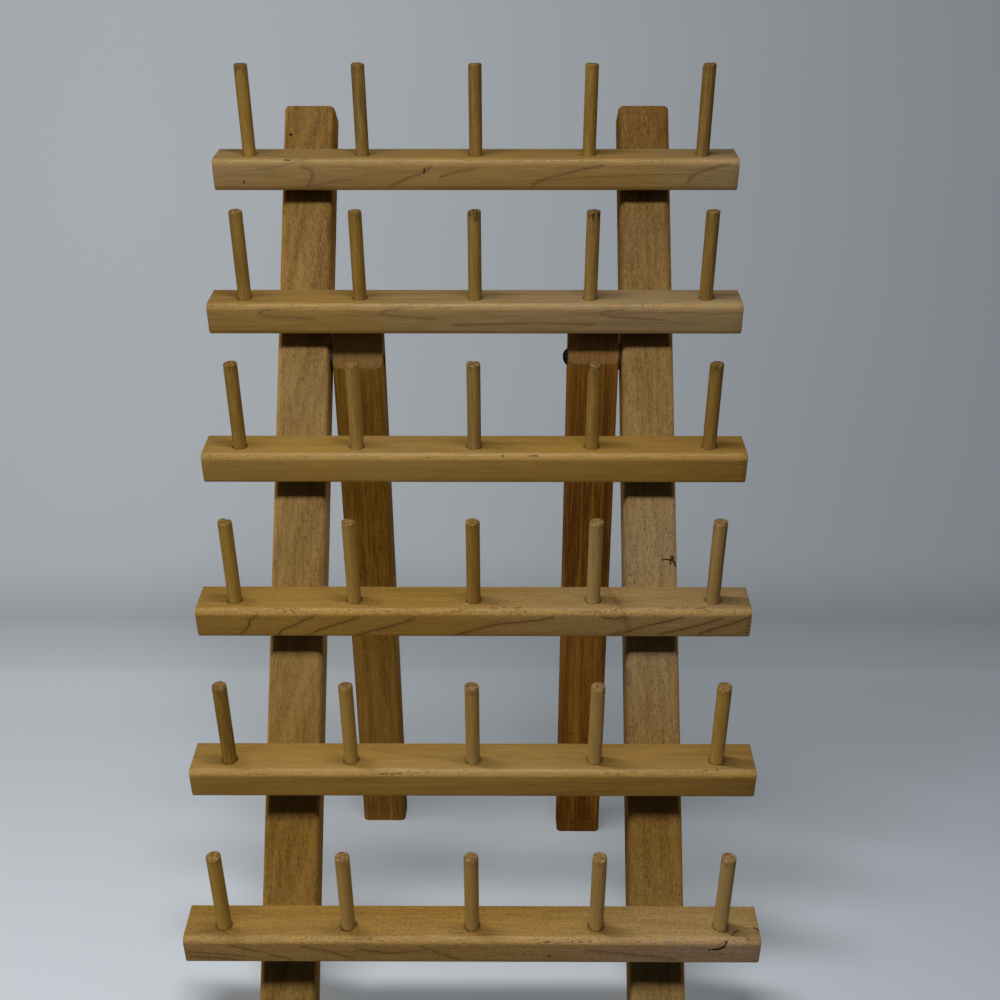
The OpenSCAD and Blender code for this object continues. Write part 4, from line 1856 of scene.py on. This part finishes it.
@dataclass
class Studio:
    """The pale sweep, the lamps and the camera.

    Attributes:
        sweep_left: The colour of the sweep at the left.
        sweep_right: Its colour at the right, darker as painted shade, the light falling from the
            left.
        sweep_near: What its colour is multiplied by towards the camera.
        sweep_fold_shade: What its colour is multiplied by in its fold, as painted shade.
        sweep_glow: The share of the sweep's colour that shows without light on it.
        sweep_matt: The share of the sweep's colour that takes light and shadow.
        sweep_bounce: The share of the sweep's colour that throws light back.
        sweep_back: Where the sweep turns up.
        sweep_front: How far it reaches the other way.
        sweep_width: Its width.
        sweep_height: The height of its upright part.
        sweep_lean: How far that part leans back.
        sweep_fold: The radius of its fold.
        sky: The colour of the light from all round.
        sky_strength: Its strength.
        sky_seen: How bright it is where it shows.
        lamps: The lamps.
        camera_place: Where the camera stands.
        camera_drop: How far it looks down.
        camera_turn: How far it is turned to the left.
        lens: Its focal length in millimetres.
        sensor: Its sensor's width in millimetres.
    """

    sweep_left: Colour = srgb(180, 186, 191)
    sweep_right: Colour = srgb(140, 146, 152)
    sweep_near: Colour = (1.4, 1.4, 1.4)
    sweep_fold_shade: Colour = (0.72, 0.73, 0.72)
    sweep_glow: float = 0.34
    sweep_matt: float = 0.9
    sweep_bounce: float = 0.1
    sweep_back: float = 0.37
    sweep_front: float = 1.5
    sweep_width: float = 5.0
    sweep_height: float = 2.2
    sweep_lean: float = 0.1
    sweep_fold: float = 0.03
    sky: Colour = (0.93, 0.97, 1.0)
    sky_strength: float = 0.008
    sky_seen: float = 0.5
    lamps: tuple[Lamp, ...] = LAMPS
    camera_place: Point = (0.01485, -0.58997, 0.37425)
    camera_drop: float = 14.252
    camera_turn: float = 0.2535
    lens: float = 44.43
    sensor: float = 36.0

    def build(self) -> None:
        """Builds the stage, lights it and sets up the camera."""
        self._stage()
        for lamp in self.lamps:
            lamp.hang()
        self._room()
        self._camera()

    def _stage(self) -> None:
        """Models the floor and the backdrop as one curved sheet, which is clear from behind."""
        Bench.clear()
        middle = (0, self.sweep_back / 2 - self.sweep_front / 2, 0)
        bpy.ops.mesh.primitive_plane_add(size=1, location=middle)
        sheet = Bench.named(SWEEP)
        size = (self.sweep_width, self.sweep_back + self.sweep_front, 1)
        rise = (0, self.sweep_lean, self.sweep_height)

        def at_fold(at: Vector, way: Vector) -> bool:
            """Tells whether an edge runs along the fold."""
            return abs(way.x) > ROUGHLY and abs(at.y - self.sweep_back) < 10 * SPARE

        with Bench.editing(sheet):
            bpy.ops.mesh.select_all(action="SELECT")
            bpy.ops.transform.resize(value=size, center_override=middle)
            Bench.pick(sheet, Domain.EDGE, lambda at, _: at.y > self.sweep_back - 10 * SPARE)
            bpy.ops.mesh.extrude_region_move(TRANSFORM_OT_translate={"value": rise})
            Bench.ease(sheet, at_fold, self.sweep_fold, steps=14)
        bpy.ops.object.shade_smooth()
        sheet.data.materials.append(self._paper())

    def _paper(self) -> bpy.types.Material:
        """Builds the sweep's finish.

        Returns:
            The material.
        """
        graph = Graph(bpy.data.materials.new("pale_sweep"))
        place = graph.read("ShaderNodeTexCoord", "Object")
        across, away, up = graph.parts(place)
        cloud = graph.noise(place, (0.5, 0.5, 0.5))
        # Painted shade: the sweep darkens towards the right, as the light falls from the left.
        side = (across + (cloud - 0.5) * 0.12).rise(-0.4, 0.5)
        colour = graph.blend(side, self.sweep_left, self.sweep_right)
        colour = graph.blend(away.rise(0.25, -0.3), colour, self.sweep_near, Mix.TINT)
        # Painted shade in the fold between floor and backdrop.
        crease = up.rise(0.09, 0.0) * away.rise(self.sweep_back - 0.05, self.sweep_back)
        colour = graph.blend(crease, colour, self.sweep_fold_shade, Mix.TINT)
        seen = graph.read("ShaderNodeLightPath", "Is Camera Ray")
        glow = {"Color": colour, "Strength": seen * self.sweep_glow}
        taken = seen * (self.sweep_matt - self.sweep_bounce) + self.sweep_bounce
        matt = {"Color": graph.blend(taken, (0.0, 0.0, 0.0), colour)}
        layers = (
            graph.node("ShaderNodeEmission", glow).outputs[0],
            graph.node("ShaderNodeBsdfDiffuse", matt).outputs[0],
        )
        paper = graph.node("ShaderNodeAddShader", dict(enumerate(layers))).outputs[0]
        behind = graph.read("ShaderNodeNewGeometry", "Backfacing")
        clear = graph.node("ShaderNodeBsdfTransparent").outputs[0]
        faced = graph.node("ShaderNodeMixShader", {0: behind, 1: paper, 2: clear})
        graph.node("ShaderNodeOutputMaterial", {"Surface": faced.outputs[0]})
        return graph.owner

    def _room(self) -> None:
        """Sets the light from all round, pale where it shows."""
        graph = Graph(bpy.data.worlds.new("room"))
        camera = graph.read("ShaderNodeLightPath", "Is Camera Ray")
        shown = camera.highest(graph.read("ShaderNodeLightPath", "Is Glossy Ray"))
        reach = {"Value": shown, "To Min": self.sky_strength, "To Max": self.sky_seen}
        level = graph.node("ShaderNodeMapRange", reach).outputs["Result"]
        light = graph.node("ShaderNodeBackground", {"Color": (*self.sky, 1.0), "Strength": level})
        graph.node("ShaderNodeOutputWorld", {"Surface": light.outputs[0]})
        bpy.context.scene.world = graph.owner

    def _camera(self) -> None:
        """Stands the camera where the rack is seen from the front and a little above."""
        camera = bpy.data.objects.new("camera", bpy.data.cameras.new("camera"))
        camera.data.sensor_width = self.sensor
        camera.data.lens = self.lens
        camera.location = self.camera_place
        turn = (90 - self.camera_drop, 0, self.camera_turn)
        camera.rotation_euler = tuple(math.radians(angle) for angle in turn)
        bpy.context.scene.collection.objects.link(camera)
        bpy.context.scene.camera = camera
        bpy.context.scene.view_settings.view_transform = "Standard"


# The bars' tones mostly darken towards their right ends: partly the wood's own and partly painted
# shade, as the light falls from the left.
BAR_SAWING = (
    Sawing(
        pith=(-0.012, -0.045), ring=11 * MM, swing=(4.0, 9.0), slope=3.0,
        drift=((0, 0.14, 0.5), (0.5, 0.02, 0.2), (0.82, 0.0, 0.28), (0.95, -0.01, 0.9)), seed=0.3,
    ),
    Sawing(
        pith=(-0.03, -0.028), ring=4.2 * MM, swing=(1.5, 2.0), slope=1.0,
        drift=((0, 0.04, 0.15), (0.26, 0.04, 0.13), (0.34, 0.03, 0.5), (0.75, 0.06, 0.92)),
        seed=1.7,
    ),
    Sawing(
        pith=(-0.02, -0.09), ring=7 * MM, swing=(1.0, 1.0), slope=1.0,
        drift=(
            (0.0, 0.2, 0.1), (0.25, 0.16, 0.04), (0.36, 0.15, 0.2), (0.48, 0.12, 0.08),
            (0.6, 0.06, 0.0), (1.0, -0.2, 0.0),
        ),
        seed=2.9,
    ),
    Sawing(
        pith=(-0.12, -0.10), ring=10 * MM, swing=(24.0, 3.0), slope=6.0,
        drift=(
            (0.0, 0.02, 0.06), (0.45, 0.02, 0.0), (0.55, 0.02, 0.35), (0.72, -0.04, 0.6),
            (1.0, -0.26, 0.75),
        ),
        seed=4.1,
    ),
    Sawing(
        pith=(-0.03, -0.12), ring=12 * MM, swing=(3.0, 6.0), slope=2.0,
        drift=(
            (0.0, 0.03, 0.08), (0.3, -0.02, 0.0), (0.52, -0.05, 0.2), (0.75, -0.15, 0.08),
            (1.0, -0.34, 0.15),
        ),
        seed=5.6,
    ),
    Sawing(
        pith=(-0.035, -0.03), ring=6 * MM, swing=(3.0, 5.0), slope=4.0,
        drift=(
            (0.0, -0.15, 0.04), (0.5, -0.15, 0.0), (0.66, -0.16, 0.14), (0.78, -0.17, 0.4),
            (1.0, -0.1, 0.52),
        ),
        seed=6.8,
    ),
)
# The tones along the posts and legs, set row by row, are partly the wood's own and partly painted
# light and shade.
LEFT_POST_SAWING = Sawing(
    pith=(-0.09, 0.05), ring=3.4 * MM, swing=(2.0, 1.0), slope=-14.0,
    drift=(
        (0.06, 0.1, 0.25), (0.2, -0.06, 0.0), (0.35, 0.14, 0.3), (0.67, 0.17, 0.45),
        (0.85, -0.22, 0.15), (0.97, -0.26, 0.0),
    ),
    seed=11.0,
)
RIGHT_POST_SAWING = Sawing(
    pith=(0.07, 0.08), ring=3.0 * MM, swing=(-1.0, 2.0), slope=3.0,
    drift=(
        (0.06, 0.2, 0.45), (0.2, -0.22, 0.1), (0.35, 0.0, 0.7), (0.5, 0.14, 0.85),
        (0.67, -0.08, 0.35), (0.85, -0.28, 0.4), (0.97, -0.42, 0.0),
    ),
    seed=12.4,
)
LEFT_LEG_SAWING = Sawing(
    pith=(0.05, 0.07), ring=2.2 * MM, swing=(1.0, 0.5), slope=1.0,
    drift=(
        (0.04, -0.5, 0.3), (0.16, 0.1, 0.3), (0.4, 0.12, 0.22), (0.55, -0.25, 0.0),
        (0.75, -0.2, 0.0), (0.9, 0.08, 0.0),
    ),
    seed=21.0,
)
RIGHT_LEG_SAWING = Sawing(
    pith=(-0.08, 0.02), ring=2.6 * MM, swing=(0.5, 0.5), slope=0.5,
    drift=(
        (0.04, -0.55, 0.0), (0.16, -0.08, 0.0), (0.4, -0.06, 0.22), (0.55, -0.45, 0.0),
        (0.75, -0.3, 0.0), (0.9, 0.05, 0.0),
    ),
    seed=22.7,
)

# The dents in each bar's upper front edge: the place along it, the depth and the reach, in mm.
BAR_DENTS = (
    ((-92, 0.4, 4),),
    ((-70, 0.25, 5), (88, 0.3, 4)),
    ((-22, 0.3, 4), (28, 0.4, 5)),
    ((10, 0.3, 5), (20, 0.35, 4), (94, 0.35, 5), (105, 0.3, 5)),
    ((-37, 0.4, 6), (107, 0.3, 4), (112, 0.3, 4)),
    ((-18, 0.3, 5), (52, 0.35, 5), (80, 0.3, 5), (114, 0.5, 4)),
)
BAR_FINISHES = (
    BAR_WOOD, BAR_WOOD, PLAIN_BAR_WOOD, TORN_BAR_WOOD, PLAIN_BAR_WOOD, TORN_BOUNCE_LIT_BAR_WOOD,
)
CHIPPED_PEGS = {(2, 4): 1.0, (2, 3): 0.9, (3, 4): 0.8, (1, 1): 0.7, (3, 5): 0.6}
ODD_PEGS = {
    (1, 1): (0.3, 0.0), (1, 4): (0.4, 0.0), (2, 4): (0.15, 0.25), (3, 2): (0.1, 0.15),
    (3, 3): (-0.05, 0.35), (3, 5): (0.0, 0.05), (4, 2): (0.1, 0.15), (4, 3): (-0.25, 0.0),
    (4, 4): (0.3, 0.5), (4, 5): (0.05, 0.5), (5, 1): (-0.55, 0.0), (5, 3): (0.1, 0.35),
    (5, 4): (0.25, 0.4), (5, 5): (0.15, 0.15), (6, 1): (0.3, 0.05), (6, 2): (0.45, 0.3),
    (6, 4): (0.2, 0.4), (6, 5): (0.15, 0.6),
}
HARDWARE = {
    "pivot_screws": BLACK_STEEL,
    "pivot_washers": BROWNED_STEEL,
    "bar_screws": SCREW_STEEL,
}


@dataclass
class Rack:
    """The whole rack.

    Attributes:
        joints: The frame's joints, which give each leg's pivot and how far it opens.
        left_sink: The depth of the recess for the left pivot screw's head.
    """

    joints: list[dict[str, Any]]
    left_sink: float = 3 * MM

    def posts(self) -> list[Post]:
        """Describes the two front posts.

        Returns:
            The posts, left and right.
        """
        kind = "frame", "post_wood"
        return [
            Post("left_upright", *kind, LEFT_POST_SAWING, LEFT_POST_MARKS, FIGURED_POST_WOOD),
            Post("right_upright", *kind, RIGHT_POST_SAWING, RIGHT_POST_MARKS),
        ]

    def legs(self) -> list[RearLeg]:
        """Describes the two rear legs.

        Returns:
            The legs, left and right.
        """
        joints = {joint["child"]: joint for joint in self.joints}
        left = RearLeg(
            "left_rear_leg", "left_leg", "leg_wood", LEFT_LEG_SAWING, joints["left_leg"]
        )
        right = RearLeg(
            "right_rear_leg", "right_leg", "leg_wood", RIGHT_LEG_SAWING, joints["right_leg"]
        )
        return [replace(left, sink=self.left_sink), replace(right, finish=STREAKED_LEG_WOOD)]

    def bars(self) -> list[Bar]:
        """Describes the six cross bars.

        Returns:
            The bars, from the top.
        """
        made = []
        rows = zip(BAR_SAWING, BAR_FINISHES, BAR_DENTS)
        for row, (sawing, finish, dents) in enumerate(rows, start=1):
            knocks = tuple(mm(*dent) for dent in dents)
            kind = "frame", "bar_wood"
            made.append(Bar(f"bar_{row}", *kind, sawing, row, finish, BAR_MARKS[row], knocks))
        return made


def main() -> None:
    """Builds the rack's pieces in order, dresses them and sets up the studio."""
    logging.basicConfig(level=logging.INFO, format="%(message)s")
    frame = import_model()
    rack = Rack(frame["joints"])
    for piece in [*rack.posts(), *rack.legs(), *rack.bars()]:
        piece.build()
    PegSet(CHIPPED_PEGS, ODD_PEGS).build()
    Hardware(HARDWARE).dress(frame["nodes"])
    Studio().build()


if __name__ == "__main__":
    main()
